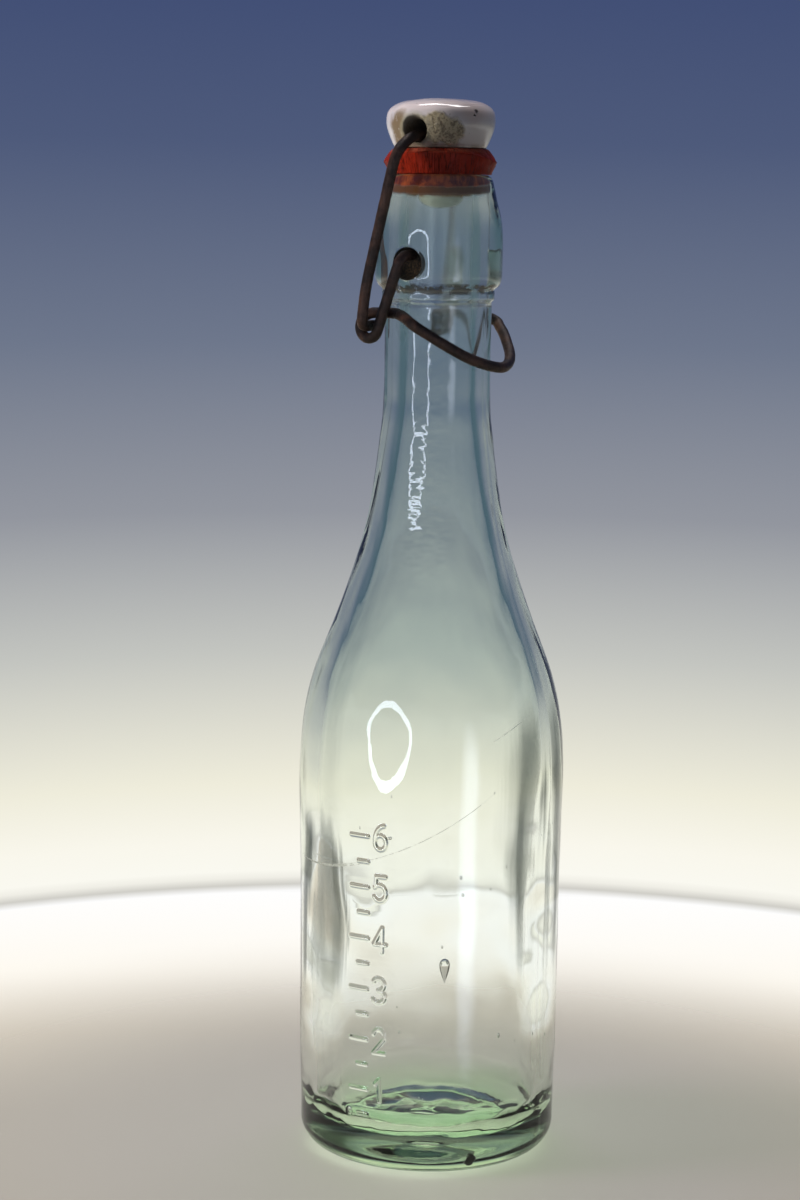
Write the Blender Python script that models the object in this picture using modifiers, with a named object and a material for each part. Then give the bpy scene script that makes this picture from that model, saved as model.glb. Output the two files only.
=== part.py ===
"""Swing-top glass bottle, closed: metres, +Z up, origin at the centre of its base.

The glass stands on a flat ring. Two blind holes in its collar carry the lever wire, whose coiled
eyelets carry the bail, and the bail passes through the porcelain stopper that presses a rubber
gasket on the lip. X runs through both pivot holes, and the thumb lever lies towards -Y.
"""

import math

import bmesh
import bpy
from mathutils import Vector

# The glass, from its base up
BODY_RADIUS = 0.0310
BODY_TAPER = 0.0011
BODY_WALL = 0.0045
BODY_HEIGHT = 0.0912
BASE_THICKNESS = 0.0070
HEEL_ROUND = 0.0060
FLOOR_ROUND = 0.0080
REST_RING_WIDTH = 0.0022
PUSH_UP = 0.0020
SHOULDER_HEIGHT = 0.0840
NECK_RADIUS = 0.0123
NECK_HEIGHT = 0.0227
BORE_RADIUS = 0.00765
BAND_RADIUS = 0.0129
BAND_HEIGHT = 0.0030
COLLAR_RADIUS = 0.0146
COLLAR_HEIGHT = 0.0256
LIP_INNER_ROUND = 0.0012

# The blind pivot holes in the collar
PIVOT_HOLE_RISE = 0.0057
PIVOT_HOLE_DEPTH = 0.0042
PIVOT_MOUTH_RADIUS = 0.0036
PIVOT_END_RADIUS = 0.0034

# Both wires
WIRE_RADIUS = 0.00123
WIRE_POINT_SPACING = 0.0018

# The lever wire, from its pivot
EYELET_BACK = 0.0086
EYELET_DROP = 0.0159
SHORT_ARM_CLEARANCE = 0.0011
SHORT_ARM_BEND = 0.0024
THUMB_HALF_WIDTH = 0.0188
THUMB_REACH = 0.0168
THUMB_DROP = 0.0250

# The bail wire, beside the lever
HOOK_BEND = 0.0019
HOOK_TAIL = 0.00035
LEG_BULGE = 0.0005

# The porcelain stopper
HEAD_RADIUS = 0.0125
HEAD_HEIGHT = 0.0112
CROSS_HOLE_RISE = 0.0037
CROSS_HOLE_RADIUS = 0.0026
CROSS_HOLE_FLARE_RADIUS = 0.0033
CROSS_HOLE_FLARE_DEPTH = 0.0028
STEM_RADIUS = 0.0048
STEM_BULB_RADIUS = 0.0055
STEM_DROP = 0.0044

# The rubber gasket
GASKET_THICKNESS = 0.0053
GASKET_RIM_RADIUS = 0.0129
GASKET_FOOT_RADIUS = 0.0116

# Clearances
TOUCH_GAP = 0.0003
WIRE_RUNNING_GAP = 0.0004
CUT_OVERRUN = 0.0020

# Fineness
BOTTLE_STEPS = 40
STOPPER_STEPS = 32
HOLE_SIDES = 20
ROUND_STEPS = 5
EYELET_STEPS = 16
WIRE_BEVEL_STEPS = 2

# Shapes, as (height share, radius share) from the foot of each stretch upwards
body_taper_shares = (
    (0.15, 0.92), (0.32, 0.58), (0.54, 0.50), (0.76, 0.42), (0.89, 0.15), (0.96, 0.02),
)
shoulder_shares = (
    (0.0, 1.0), (0.1, 0.970), (0.2, 0.900), (0.3, 0.757), (0.4, 0.570), (0.5, 0.410),
    (0.6, 0.270), (0.7, 0.165), (0.8, 0.100), (0.9, 0.045), (1.0, 0.0),
)
band_shares = ((0.08, 0.45), (0.25, 1.0), (0.7, 1.0), (0.88, 0.75))
collar_shares = (
    (0.0, 0.30), (0.03, 0.70), (0.08, 0.93), (0.16, 1.0), (0.40, 1.0), (0.52, 0.95),
    (0.64, 0.76), (0.775, 0.37), (0.88, 0.12), (0.95, -0.08), (0.985, -0.35), (1.0, -0.65),
)
push_up_shares = ((0.0, 1.0), (0.35, 0.86), (0.7, 0.45), (0.92, 0.1))
head_shares = (
    (0.0, 0.84), (0.04, 0.895), (0.20, 0.935), (0.40, 0.985), (0.56, 1.0), (0.72, 0.975),
    (0.83, 0.895), (0.905, 0.78), (0.955, 0.63), (0.985, 0.42), (0.998, 0.18),
)
stem_shares = ((0.0, -2.0), (0.2, 0.5), (0.5, 1.0), (0.8, 0.8), (1.0, 0.0))
gasket_shares = (
    (0.0, 0.0), (0.3, 0.5), (0.53, 0.95), (0.62, 1.0), (0.72, 0.9), (0.9, 0.3), (1.0, -0.2),
)

# The lever's arm, as (outward, forward, down) shares from the eyelet to the thumb bend
arm_flare_shares = (
    (0.0, 0.12, -0.005), (0.05, 0.236, 0.0), (0.48, 0.362, 0.055), (1.0, 0.512, 0.18),
)
arm_bend_shares = (
    (0.95, 0.582, 0.29), (0.878, 0.650, 0.40), (0.745, 0.744, 0.57), (0.543, 0.862, 0.78),
    (0.32, 0.945, 0.915), (0.117, 0.99, 0.983),
)

# The bail's leg, as (along, outward, bulge) shares from the eyelet's axis to the cross-hole's
leg_shares = (
    (0.12, 1.0, 0.6), (0.22, 0.998, 1.0), (0.36, 0.993, 0.75), (0.52, 0.985, 0.35),
    (0.70, 0.970, 0.0), (0.80, 0.955, 0.0), (0.88, 0.925, 0.0), (0.93, 0.862, 0.0),
    (0.962, 0.765, 0.0), (0.985, 0.672, 0.0), (0.998, 0.585, 0.0),
)

# Places that follow from the sizes
wire_diameter = 2 * WIRE_RADIUS
shoulder_foot = BODY_HEIGHT
neck_foot = shoulder_foot + SHOULDER_HEIGHT
band_foot = neck_foot + NECK_HEIGHT
collar_foot = band_foot + BAND_HEIGHT
glass_top = collar_foot + COLLAR_HEIGHT
heel_top_radius = BODY_RADIUS - BODY_TAPER
ring_outer_radius = heel_top_radius - HEEL_ROUND
ring_inner_radius = ring_outer_radius - REST_RING_WIDTH
inner_body_radius = BODY_RADIUS - BODY_WALL
pivot_hole_z = collar_foot + PIVOT_HOLE_RISE
pivot_z = pivot_hole_z + PIVOT_END_RADIUS - WIRE_RADIUS - TOUCH_GAP
eyelet_radius = wire_diameter + WIRE_RUNNING_GAP
eyelet_pitch = wire_diameter + TOUCH_GAP
short_arm_x = COLLAR_RADIUS + WIRE_RADIUS + SHORT_ARM_CLEARANCE
eyelet_z = pivot_z - EYELET_DROP
gasket_foot = glass_top + TOUCH_GAP
head_foot = gasket_foot + GASKET_THICKNESS + TOUCH_GAP
cross_hole_z = head_foot + CROSS_HOLE_RISE
cross_wire_z = cross_hole_z - CROSS_HOLE_RADIUS + WIRE_RADIUS + TOUCH_GAP
leg_x = short_arm_x + wire_diameter + TOUCH_GAP


def clear_scene():
    for scene_object in list(bpy.data.objects):
        bpy.data.objects.remove(scene_object, do_unlink=True)


def new_collection(name, hidden=False):
    collection = bpy.data.collections.new(name)
    bpy.context.scene.collection.children.link(collection)
    collection.hide_render = hidden
    return collection


def new_material(name, colour, roughness, metallic=0.0, transmission=0.0, ior=1.45):
    material = bpy.data.materials.new(name)
    material.use_nodes = True
    shader = material.node_tree.nodes["Principled BSDF"]
    shader.inputs["Base Color"].default_value = (*colour, 1.0)
    shader.inputs["Roughness"].default_value = roughness
    shader.inputs["Metallic"].default_value = metallic
    shader.inputs["Transmission Weight"].default_value = transmission
    shader.inputs["IOR"].default_value = ior
    return material


def add_object(name, data, collection, material=None):
    made = bpy.data.objects.new(name, data)
    collection.objects.link(made)
    if material is not None:
        data.materials.append(material)
    return made


def place(child, point, parent=None):
    """Puts an object's origin at a world point, under a parent that is already placed."""
    child.parent = parent
    base = parent["world_point"] if parent is not None else (0.0, 0.0, 0.0)
    child.location = Vector(point) - Vector(base)
    child["world_point"] = tuple(point)


def mix(start, end, share):
    return start + (end - start) * share


def smooth_through(points, steps):
    """Points on a Catmull-Rom curve through the given ones, with some steps between each two."""
    vectors = [Vector(point) for point in points]
    before = 2 * vectors[0] - vectors[1]
    after = 2 * vectors[-1] - vectors[-2]
    padded = [before, *vectors, after]
    found = []
    for index in range(1, len(padded) - 2):
        a, b, c, d = padded[index - 1 : index + 3]
        for step in range(steps):
            t = step / steps
            found.append(
                0.5 * ((2 * b) + (c - a) * t + (2 * a - 5 * b + 4 * c - d) * t * t
                       + (3 * b - a - 3 * c + d) * t * t * t)
            )
    found.append(vectors[-1])
    return found


def evenly_spaced(points, spacing):
    """The same route with its points close to the given spacing apart."""
    lengths = [0.0]
    for start, end in zip(points, points[1:]):
        lengths.append(lengths[-1] + (end - start).length)
    count = max(1, round(lengths[-1] / spacing))
    found = []
    index = 0
    for step in range(count + 1):
        wanted = lengths[-1] * step / count
        while index < len(points) - 2 and lengths[index + 1] < wanted:
            index += 1
        share = (wanted - lengths[index]) / (lengths[index + 1] - lengths[index])
        found.append(points[index].lerp(points[index + 1], share))
    return found


def quarter(centre_radius, centre_z, radius, start_degrees, end_degrees):
    """Points of a round in a turned profile, both ends included."""
    found = []
    for step in range(ROUND_STEPS + 1):
        angle = math.radians(mix(start_degrees, end_degrees, step / ROUND_STEPS))
        found.append(
            (centre_radius + radius * math.cos(angle), centre_z + radius * math.sin(angle))
        )
    return found


def turned(name, profile, steps, collection, material, origin_z):
    """A solid turned about Z from (radius, z) points that end on the axis and run down its outside."""
    mesh = bpy.data.meshes.new(name)
    mesh.from_pydata(
        [(radius, 0.0, z - origin_z) for radius, z in profile],
        [(index, index + 1) for index in range(len(profile) - 1)],
        [],
    )
    made = add_object(name, mesh, collection, material)
    screw = made.modifiers.new("Turn", "SCREW")
    screw.steps = steps
    screw.render_steps = steps
    screw.use_merge_vertices = True
    screw.merge_threshold = 0.00001
    screw.use_smooth_shade = True
    return made


def shoulder_profile(wide, narrow):
    """The shoulder's curve from its foot up, from one radius in to the other."""
    coarse = [(share_up, share_out, 0.0) for share_up, share_out in shoulder_shares]
    return [
        (mix(narrow, wide, point.y), mix(shoulder_foot, neck_foot, point.x))
        for point in smooth_through(coarse, 2)
    ]


def body_profile(wall):
    """The body's side from above its heel up, as far inside the glass as the wall given."""
    return [
        (BODY_RADIUS - BODY_TAPER * taper - wall, BODY_HEIGHT * height)
        for height, taper in body_taper_shares
    ]


def outer_profile_upwards():
    """The outside of the glass, from the ring it stands on up to the lip."""
    heel = quarter(ring_outer_radius, HEEL_ROUND, HEEL_ROUND, -90, 0)
    band = [
        (mix(NECK_RADIUS, BAND_RADIUS, out), band_foot + BAND_HEIGHT * height)
        for height, out in band_shares
    ]
    collar = [
        (mix(NECK_RADIUS, COLLAR_RADIUS, out), collar_foot + COLLAR_HEIGHT * height)
        for height, out in collar_shares
    ]
    return [
        *heel,
        *body_profile(0.0),
        *shoulder_profile(BODY_RADIUS, NECK_RADIUS),
        (NECK_RADIUS, band_foot),
        *band,
        *collar,
    ]


def inner_profile_upwards():
    """The inside of the glass, from the middle of its floor up to the mouth."""
    floor_edge = heel_top_radius - BODY_WALL - FLOOR_ROUND
    floor_round = quarter(floor_edge, BASE_THICKNESS + FLOOR_ROUND, FLOOR_ROUND, -90, 0)
    above = [
        point for point in body_profile(BODY_WALL) if point[1] > BASE_THICKNESS + FLOOR_ROUND
    ]
    lip = quarter(
        BORE_RADIUS + LIP_INNER_ROUND, glass_top - LIP_INNER_ROUND, LIP_INNER_ROUND, 180, 90
    )
    return [
        (0.0, BASE_THICKNESS),
        *floor_round,
        *above,
        *shoulder_profile(inner_body_radius, BORE_RADIUS),
        *lip,
    ]


def underside_profile():
    """The hollow under the base, from the middle out to the ring it stands on."""
    hollow = [
        (ring_inner_radius * out, PUSH_UP * height) for out, height in push_up_shares
    ]
    return [*hollow, (ring_inner_radius, 0.0)]


def cut_with(target, cutter, name):
    cut = target.modifiers.new(name, "BOOLEAN")
    cut.operation = "DIFFERENCE"
    cut.solver = "EXACT"
    cut.object = cutter


def round_cutter(name, rings, sides, cutters):
    """A cutter along X through rings given as (x, radius), closed at both ends."""
    shape = bmesh.new()
    made = []
    for x, radius in rings:
        ring = bmesh.ops.create_circle(shape, cap_ends=False, segments=sides, radius=radius)
        for vertex in ring["verts"]:
            vertex.co = Vector((x, vertex.co.x, vertex.co.y))
        made.append(ring["verts"])
    for lower, upper in zip(made, made[1:]):
        for index in range(sides):
            after = (index + 1) % sides
            shape.faces.new((lower[index], lower[after], upper[after], upper[index]))
    shape.faces.new(made[0])
    shape.faces.new(made[-1])
    bmesh.ops.recalc_face_normals(shape, faces=shape.faces)
    mesh = bpy.data.meshes.new(name)
    shape.to_mesh(mesh)
    shape.free()
    cutter = add_object(name, mesh, cutters)
    cutter.hide_render = True
    cutter.display_type = "WIRE"
    return cutter


def pivot_cutter(side, cutters):
    """A tapered blind hole in one side of the collar, running on outside the glass."""
    end_x = COLLAR_RADIUS - PIVOT_HOLE_DEPTH
    out_x = COLLAR_RADIUS + CUT_OVERRUN
    widening = (PIVOT_MOUTH_RADIUS - PIVOT_END_RADIUS) / PIVOT_HOLE_DEPTH
    out_radius = PIVOT_MOUTH_RADIUS + widening * CUT_OVERRUN
    name = "pivot_cutter_right" if side > 0 else "pivot_cutter_left"
    rings = [(side * end_x, PIVOT_END_RADIUS), (side * out_x, out_radius)]
    return round_cutter(name, rings, HOLE_SIDES, cutters)


def make_bottle(parts, cutters, material):
    """The glass, with both pivot holes cut in its collar."""
    downwards = list(reversed(outer_profile_upwards()))
    profile = [*inner_profile_upwards(), *downwards, *reversed(underside_profile())]
    bottle = turned("bottle", profile, BOTTLE_STEPS, parts, material, 0.0)
    place(bottle, (0.0, 0.0, 0.0))
    for side, name in ((1, "Right hole"), (-1, "Left hole")):
        cutter = pivot_cutter(side, cutters)
        place(cutter, (0.0, 0.0, pivot_hole_z), bottle)
        cut_with(bottle, cutter, name)
    return bottle


def stopper_profile():
    """The porcelain from the top of its head down to the end of its stem."""
    head = [
        (HEAD_RADIUS * out, head_foot + HEAD_HEIGHT * height) for height, out in head_shares
    ]
    stem_top = gasket_foot - TOUCH_GAP
    stem_foot = gasket_foot - STEM_DROP
    stem = [
        (mix(STEM_RADIUS, STEM_BULB_RADIUS, out), mix(stem_foot, stem_top, height))
        for height, out in stem_shares
    ]
    return [
        (0.0, head_foot + HEAD_HEIGHT),
        *reversed(head),
        (STEM_RADIUS, head_foot),
        *reversed(stem),
        (0.0, stem_foot),
    ]


def make_stopper(parts, cutters, material, bail):
    """The porcelain, bored across for the bail, with a flare at each mouth of the hole."""
    stopper = turned("stopper", stopper_profile(), STOPPER_STEPS, parts, material, cross_wire_z)
    place(stopper, (0.0, 0.0, cross_wire_z), bail)
    flare_slope = (CROSS_HOLE_FLARE_RADIUS - CROSS_HOLE_RADIUS) / CROSS_HOLE_FLARE_DEPTH
    flare_start = HEAD_RADIUS - CROSS_HOLE_FLARE_DEPTH
    out_x = HEAD_RADIUS + CUT_OVERRUN
    out_radius = CROSS_HOLE_FLARE_RADIUS + flare_slope * CUT_OVERRUN
    rings = [
        (-out_x, out_radius),
        (-flare_start, CROSS_HOLE_RADIUS),
        (flare_start, CROSS_HOLE_RADIUS),
        (out_x, out_radius),
    ]
    cutter = round_cutter("cross_hole_cutter", rings, HOLE_SIDES, cutters)
    place(cutter, (0.0, 0.0, cross_hole_z), stopper)
    cut_with(stopper, cutter, "Cross hole")
    return stopper


def make_gasket(parts, material, stopper):
    """The rubber ring between the porcelain and the lip, widest at its upper rim."""
    outside = [
        (mix(GASKET_FOOT_RADIUS, GASKET_RIM_RADIUS, out), gasket_foot + GASKET_THICKNESS * height)
        for height, out in gasket_shares
    ]
    hole_radius = STEM_RADIUS + TOUCH_GAP
    profile = [
        (hole_radius, gasket_foot),
        (hole_radius, gasket_foot + GASKET_THICKNESS),
        *reversed(outside),
        (hole_radius, gasket_foot),
    ]
    gasket = turned("gasket", profile[:-1], STOPPER_STEPS, parts, material, cross_wire_z)
    mesh = gasket.data
    closing = bmesh.new()
    closing.from_mesh(mesh)
    closing.verts.ensure_lookup_table()
    closing.edges.new((closing.verts[-1], closing.verts[0]))
    closing.to_mesh(mesh)
    closing.free()
    place(gasket, (0.0, 0.0, cross_wire_z), stopper)
    return gasket


def mirrored_whole(half):
    """A whole wire from the half that ends at X = 0."""
    other = [Vector((-point.x, point.y, point.z)) for point in half[:-1]]
    return [*half, *reversed(other)]


def make_wire(name, points, parts, material):
    """A round wire along the points, with closed ends."""
    curve = bpy.data.curves.new(name, "CURVE")
    curve.dimensions = "3D"
    curve.bevel_depth = WIRE_RADIUS
    curve.bevel_resolution = WIRE_BEVEL_STEPS
    curve.use_fill_caps = True
    spline = curve.splines.new("POLY")
    spline.points.add(len(points) - 1)
    for spline_point, point in zip(spline.points, points):
        spline_point.co = (*point, 1.0)
    spline.use_smooth = True
    return add_object(name, curve, parts, material)


def short_arm_points(down):
    """From the end in the pivot hole, round a bend and down towards the eyelet."""
    pin_end = COLLAR_RADIUS - PIVOT_HOLE_DEPTH + 2 * TOUCH_GAP
    bend_start = short_arm_x - SHORT_ARM_BEND
    points = [Vector((pin_end, 0.0, 0.0)), Vector((mix(pin_end, bend_start, 0.5), 0.0, 0.0))]
    for step in range(ROUND_STEPS + 1):
        angle = math.radians(mix(0, 90, step / ROUND_STEPS))
        across = SHORT_ARM_BEND * math.sin(angle)
        along = SHORT_ARM_BEND * (1 - math.cos(angle))
        points.append(Vector((bend_start + across, down.y * along, down.z * along)))
    return points


def eyelet_points(start_degrees, end_degrees):
    """The coil, drawn inwards by one pitch so that the arm passes behind the short arm."""
    points = []
    for step in range(EYELET_STEPS + 1):
        share = step / EYELET_STEPS
        angle = math.radians(mix(start_degrees, end_degrees, share))
        points.append(
            Vector((
                short_arm_x - eyelet_pitch * share,
                EYELET_BACK + eyelet_radius * math.cos(angle),
                -EYELET_DROP + eyelet_radius * math.sin(angle),
            ))
        )
    return points


def thumb_points(start):
    """From the eyelet forwards, flaring out and then round to the middle of the thumb bend."""
    route = [start]
    for out, forward, down in arm_flare_shares:
        route.append((
            mix(start.x, THUMB_HALF_WIDTH, out),
            mix(start.y, -THUMB_REACH, forward),
            mix(start.z, -THUMB_DROP, down),
        ))
    for out, forward, down in arm_bend_shares:
        route.append((
            THUMB_HALF_WIDTH * out,
            mix(start.y, -THUMB_REACH, forward),
            mix(start.z, -THUMB_DROP, down),
        ))
    route.append((0.0, -THUMB_REACH, -THUMB_DROP))
    fine = smooth_through(route, 6)
    return evenly_spaced(fine, WIRE_POINT_SPACING)[1:]


def make_lever(parts, material, bottle):
    """The lower wire: both pivots, both eyelets and the thumb bend in one length."""
    eyelet_distance = math.hypot(EYELET_BACK, EYELET_DROP)
    towards_eyelet = math.atan2(EYELET_BACK, EYELET_DROP)
    lean = towards_eyelet - math.asin(eyelet_radius / eyelet_distance)
    down = Vector((0.0, math.sin(lean), -math.cos(lean)))
    first_turn = 180 + math.degrees(lean)
    coil = eyelet_points(first_turn, 450)
    arm = short_arm_points(down)
    between = [arm[-1].lerp(coil[0], share) for share in (0.33, 0.67)]
    half = [*arm, *between, *coil, *thumb_points(coil[-1])]
    lever = make_wire("lever_wire", mirrored_whole(half), parts, material)
    place(lever, (0.0, 0.0, pivot_z), bottle)
    return lever


def make_bail(parts, material, lever):
    """The upper wire: hooked through both eyelets, up both sides and through the stopper."""
    top = Vector((0.0, -EYELET_BACK, cross_wire_z - eyelet_z))
    upwards = top.normalized()
    backwards = Vector((0.0, upwards.z, -upwards.y))
    eyelet_inner_x = short_arm_x - eyelet_pitch - WIRE_RADIUS
    tail = Vector((eyelet_inner_x - HOOK_TAIL, 0.0, 0.0))
    bend_start = leg_x - HOOK_BEND
    points = [tail, tail.lerp(Vector((bend_start, 0.0, 0.0)), 0.5)]
    for step in range(ROUND_STEPS + 1):
        angle = math.radians(mix(0, 90, step / ROUND_STEPS))
        across = bend_start + HOOK_BEND * math.sin(angle)
        along = HOOK_BEND * (1 - math.cos(angle))
        points.append(Vector((across, 0.0, 0.0)) + upwards * along)
    route = [points[-1]]
    for along, out, bulge in leg_shares:
        route.append(
            top * along + backwards * (LEG_BULGE * bulge) + Vector((leg_x * out, 0.0, 0.0))
        )
    straight_x = HEAD_RADIUS - CROSS_HOLE_FLARE_DEPTH
    route.append(top + Vector((straight_x, 0.0, 0.0)))
    leg = evenly_spaced(smooth_through(route, 6), WIRE_POINT_SPACING)
    half = [*points[:-1], *leg, top + Vector((straight_x * 0.5, 0.0, 0.0)), top]
    bail = make_wire("bail_wire", mirrored_whole(half), parts, material)
    place(bail, (0.0, EYELET_BACK, eyelet_z), lever)
    return bail


def main():
    clear_scene()
    parts = new_collection("swing_top_bottle")
    cutters = new_collection("swing_top_bottle_cutters", hidden=True)
    glass = new_material("aqua_glass", (0.62, 0.80, 0.76), 0.04, transmission=0.9, ior=1.5)
    porcelain = new_material("white_porcelain", (0.82, 0.79, 0.77), 0.15)
    rubber = new_material("red_rubber", (0.34, 0.05, 0.03), 0.6)
    iron = new_material("dark_iron_wire", (0.06, 0.045, 0.04), 0.5, metallic=0.8)
    bottle = make_bottle(parts, cutters, glass)
    lever = make_lever(parts, iron, bottle)
    bail = make_bail(parts, iron, lever)
    stopper = make_stopper(parts, cutters, porcelain, bail)
    make_gasket(parts, rubber, stopper)


main()
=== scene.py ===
"""Swing-top bottle: wavy aqua glass, stained porcelain, cracked red rubber and rusted iron wire.

Metres, in the frame's own coordinates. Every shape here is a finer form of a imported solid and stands
in that solid's place. The camera's place was read from the photograph.
"""

import math
import random

import bmesh
import bpy
import numpy as np
from mathutils import Matrix, Vector, noise


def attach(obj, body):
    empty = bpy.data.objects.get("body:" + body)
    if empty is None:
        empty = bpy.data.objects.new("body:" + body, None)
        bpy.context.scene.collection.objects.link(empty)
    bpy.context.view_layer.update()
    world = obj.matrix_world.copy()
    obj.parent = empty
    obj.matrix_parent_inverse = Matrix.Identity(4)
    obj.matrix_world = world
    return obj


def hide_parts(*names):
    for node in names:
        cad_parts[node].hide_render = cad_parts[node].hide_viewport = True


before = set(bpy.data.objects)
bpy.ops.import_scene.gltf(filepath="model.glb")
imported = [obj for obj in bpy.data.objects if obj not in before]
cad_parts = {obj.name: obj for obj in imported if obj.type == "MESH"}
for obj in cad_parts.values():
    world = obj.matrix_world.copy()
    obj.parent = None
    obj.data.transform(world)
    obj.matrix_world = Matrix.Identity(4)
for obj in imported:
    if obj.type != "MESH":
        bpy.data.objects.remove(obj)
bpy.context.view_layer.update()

# The glass, from its base up
BODY_RADIUS = 0.0310
BODY_TAPER = 0.0011
BODY_WALL = 0.0045
BODY_HEIGHT = 0.0912
BASE_THICKNESS = 0.0070
HEEL_ROUND = 0.0060
FLOOR_ROUND = 0.0080
REST_RING_WIDTH = 0.0022
PUSH_UP = 0.0020
SHOULDER_HEIGHT = 0.0840
NECK_RADIUS = 0.0123
NECK_HEIGHT = 0.0227
BORE_RADIUS = 0.00765
BAND_RADIUS = 0.0129
BAND_HEIGHT = 0.0030
COLLAR_RADIUS = 0.0146
COLLAR_HEIGHT = 0.0256
LIP_INNER_ROUND = 0.0012

# The blind pivot holes
PIVOT_HOLE_RISE = 0.0057
PIVOT_HOLE_DEPTH = 0.0042
PIVOT_MOUTH_RADIUS = 0.0036
PIVOT_END_RADIUS = 0.0034

# The wires
WIRE_RADIUS = 0.00123
EYELET_BACK = 0.0086
EYELET_DROP = 0.0159
SHORT_ARM_CLEARANCE = 0.0011
SHORT_ARM_BEND = 0.0024
THUMB_HALF_WIDTH = 0.0188
THUMB_REACH = 0.0168
THUMB_DROP = 0.0250
HOOK_BEND = 0.0019
HOOK_TAIL = 0.00035
LEG_BULGE = 0.0005

# The stopper and its gasket
HEAD_RADIUS = 0.0125
HEAD_HEIGHT = 0.0112
CROSS_HOLE_RISE = 0.0037
CROSS_HOLE_RADIUS = 0.0026
CROSS_HOLE_FLARE_RADIUS = 0.0033
CROSS_HOLE_FLARE_DEPTH = 0.0028
STEM_RADIUS = 0.0048
STEM_BULB_RADIUS = 0.0055
STEM_DROP = 0.0044
GASKET_THICKNESS = 0.0053
GASKET_RIM_RADIUS = 0.0129
GASKET_FOOT_RADIUS = 0.0116
TOUCH_GAP = 0.0003
WIRE_RUNNING_GAP = 0.0004

# Shapes, as (height share, radius share) from the foot of each stretch upwards
body_taper_shares = (
    (0.15, 0.92), (0.32, 0.58), (0.54, 0.50), (0.76, 0.42), (0.89, 0.15), (0.96, 0.02),
)
shoulder_shares = (
    (0.0, 1.0), (0.1, 0.970), (0.2, 0.900), (0.3, 0.757), (0.4, 0.570), (0.5, 0.410),
    (0.6, 0.270), (0.7, 0.165), (0.8, 0.100), (0.9, 0.045), (1.0, 0.0),
)
band_shares = ((0.08, 0.45), (0.25, 1.0), (0.7, 1.0), (0.88, 0.75))
collar_shares = (
    (0.0, 0.30), (0.03, 0.70), (0.08, 0.93), (0.16, 1.0), (0.40, 1.0), (0.52, 0.95),
    (0.64, 0.76), (0.775, 0.37), (0.88, 0.12), (0.95, -0.08), (0.985, -0.35), (1.0, -0.65),
)
push_up_shares = ((0.0, 1.0), (0.35, 0.86), (0.7, 0.45), (0.92, 0.1))
head_shares = (
    (0.0, 0.82), (0.04, 0.865), (0.20, 0.925), (0.40, 0.985), (0.56, 1.0), (0.72, 0.975),
    (0.83, 0.895), (0.905, 0.78), (0.955, 0.63), (0.985, 0.42), (0.998, 0.18),
)
stem_shares = ((0.0, -2.0), (0.2, 0.5), (0.5, 1.0), (0.8, 0.8), (1.0, 0.0))
gasket_shares = (
    (0.0, 0.0), (0.15, 0.28), (0.3, 0.52), (0.45, 0.80), (0.54, 0.95), (0.58, 1.0), (0.61, 1.0),
    (0.66, 0.82), (0.72, 0.55), (0.80, 0.20), (0.88, -0.15), (0.96, -0.50), (1.0, -0.75),
)

# Routes of the wires, as shares of how far they reach out, forwards or back, and down or along
arm_flare_shares = (
    (0.0, 0.12, -0.005), (0.05, 0.236, 0.0), (0.48, 0.362, 0.055), (1.0, 0.512, 0.18),
)
arm_bend_shares = (
    (0.95, 0.582, 0.29), (0.878, 0.650, 0.40), (0.745, 0.744, 0.57), (0.543, 0.862, 0.78),
    (0.32, 0.945, 0.915), (0.117, 0.99, 0.983),
)
leg_shares = (
    (0.12, 1.0, 0.6), (0.22, 0.998, 1.0), (0.36, 0.993, 0.75), (0.52, 0.985, 0.35),
    (0.70, 0.970, 0.0), (0.80, 0.955, 0.0), (0.88, 0.925, 0.0), (0.93, 0.862, 0.0),
    (0.962, 0.765, 0.0), (0.985, 0.672, 0.0), (0.998, 0.585, 0.0),
)

# Places that follow from the sizes
wire_diameter = 2 * WIRE_RADIUS
neck_foot = BODY_HEIGHT + SHOULDER_HEIGHT
band_foot = neck_foot + NECK_HEIGHT
collar_foot = band_foot + BAND_HEIGHT
glass_top = collar_foot + COLLAR_HEIGHT
heel_top_radius = BODY_RADIUS - BODY_TAPER
ring_outer_radius = heel_top_radius - HEEL_ROUND
ring_inner_radius = ring_outer_radius - REST_RING_WIDTH
pivot_hole_z = collar_foot + PIVOT_HOLE_RISE
pivot_z = pivot_hole_z + PIVOT_END_RADIUS - WIRE_RADIUS - TOUCH_GAP
eyelet_radius = wire_diameter + WIRE_RUNNING_GAP
eyelet_pitch = wire_diameter + TOUCH_GAP
short_arm_x = COLLAR_RADIUS + WIRE_RADIUS + SHORT_ARM_CLEARANCE
eyelet_z = pivot_z - EYELET_DROP
gasket_foot = glass_top + TOUCH_GAP
head_foot = gasket_foot + GASKET_THICKNESS + TOUCH_GAP
cross_hole_z = head_foot + CROSS_HOLE_RISE
cross_wire_z = cross_hole_z - CROSS_HOLE_RADIUS + WIRE_RADIUS + TOUCH_GAP
leg_x = short_arm_x + wire_diameter + TOUCH_GAP

# The camera, from the photograph
CAMERA_DISTANCE = 0.6427
CAMERA_HEIGHT = 0.2207
CAMERA_LENS_MM = 84.0
CAMERA_SENSOR_MM = 36.0
CAMERA_AZIMUTH_DEG = 30.0
CAMERA_PITCH_DEG = 8.13
CAMERA_YAW_DEG = 0.70
CAMERA_ROLL_DEG = 0.75

# The side that the photograph shows
FACING_DEG = 180.0 + CAMERA_AZIMUTH_DEG
FACING_X = -math.cos(math.radians(CAMERA_AZIMUTH_DEG))
FACING_Y = -math.sin(math.radians(CAMERA_AZIMUTH_DEG))


def on_face(radius, right, z):
    """A point on a round side of the photographed face, some way right of its middle."""
    forward = math.sqrt(radius * radius - right * right)
    return (FACING_X * forward - FACING_Y * right, FACING_Y * forward + FACING_X * right, z)


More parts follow.
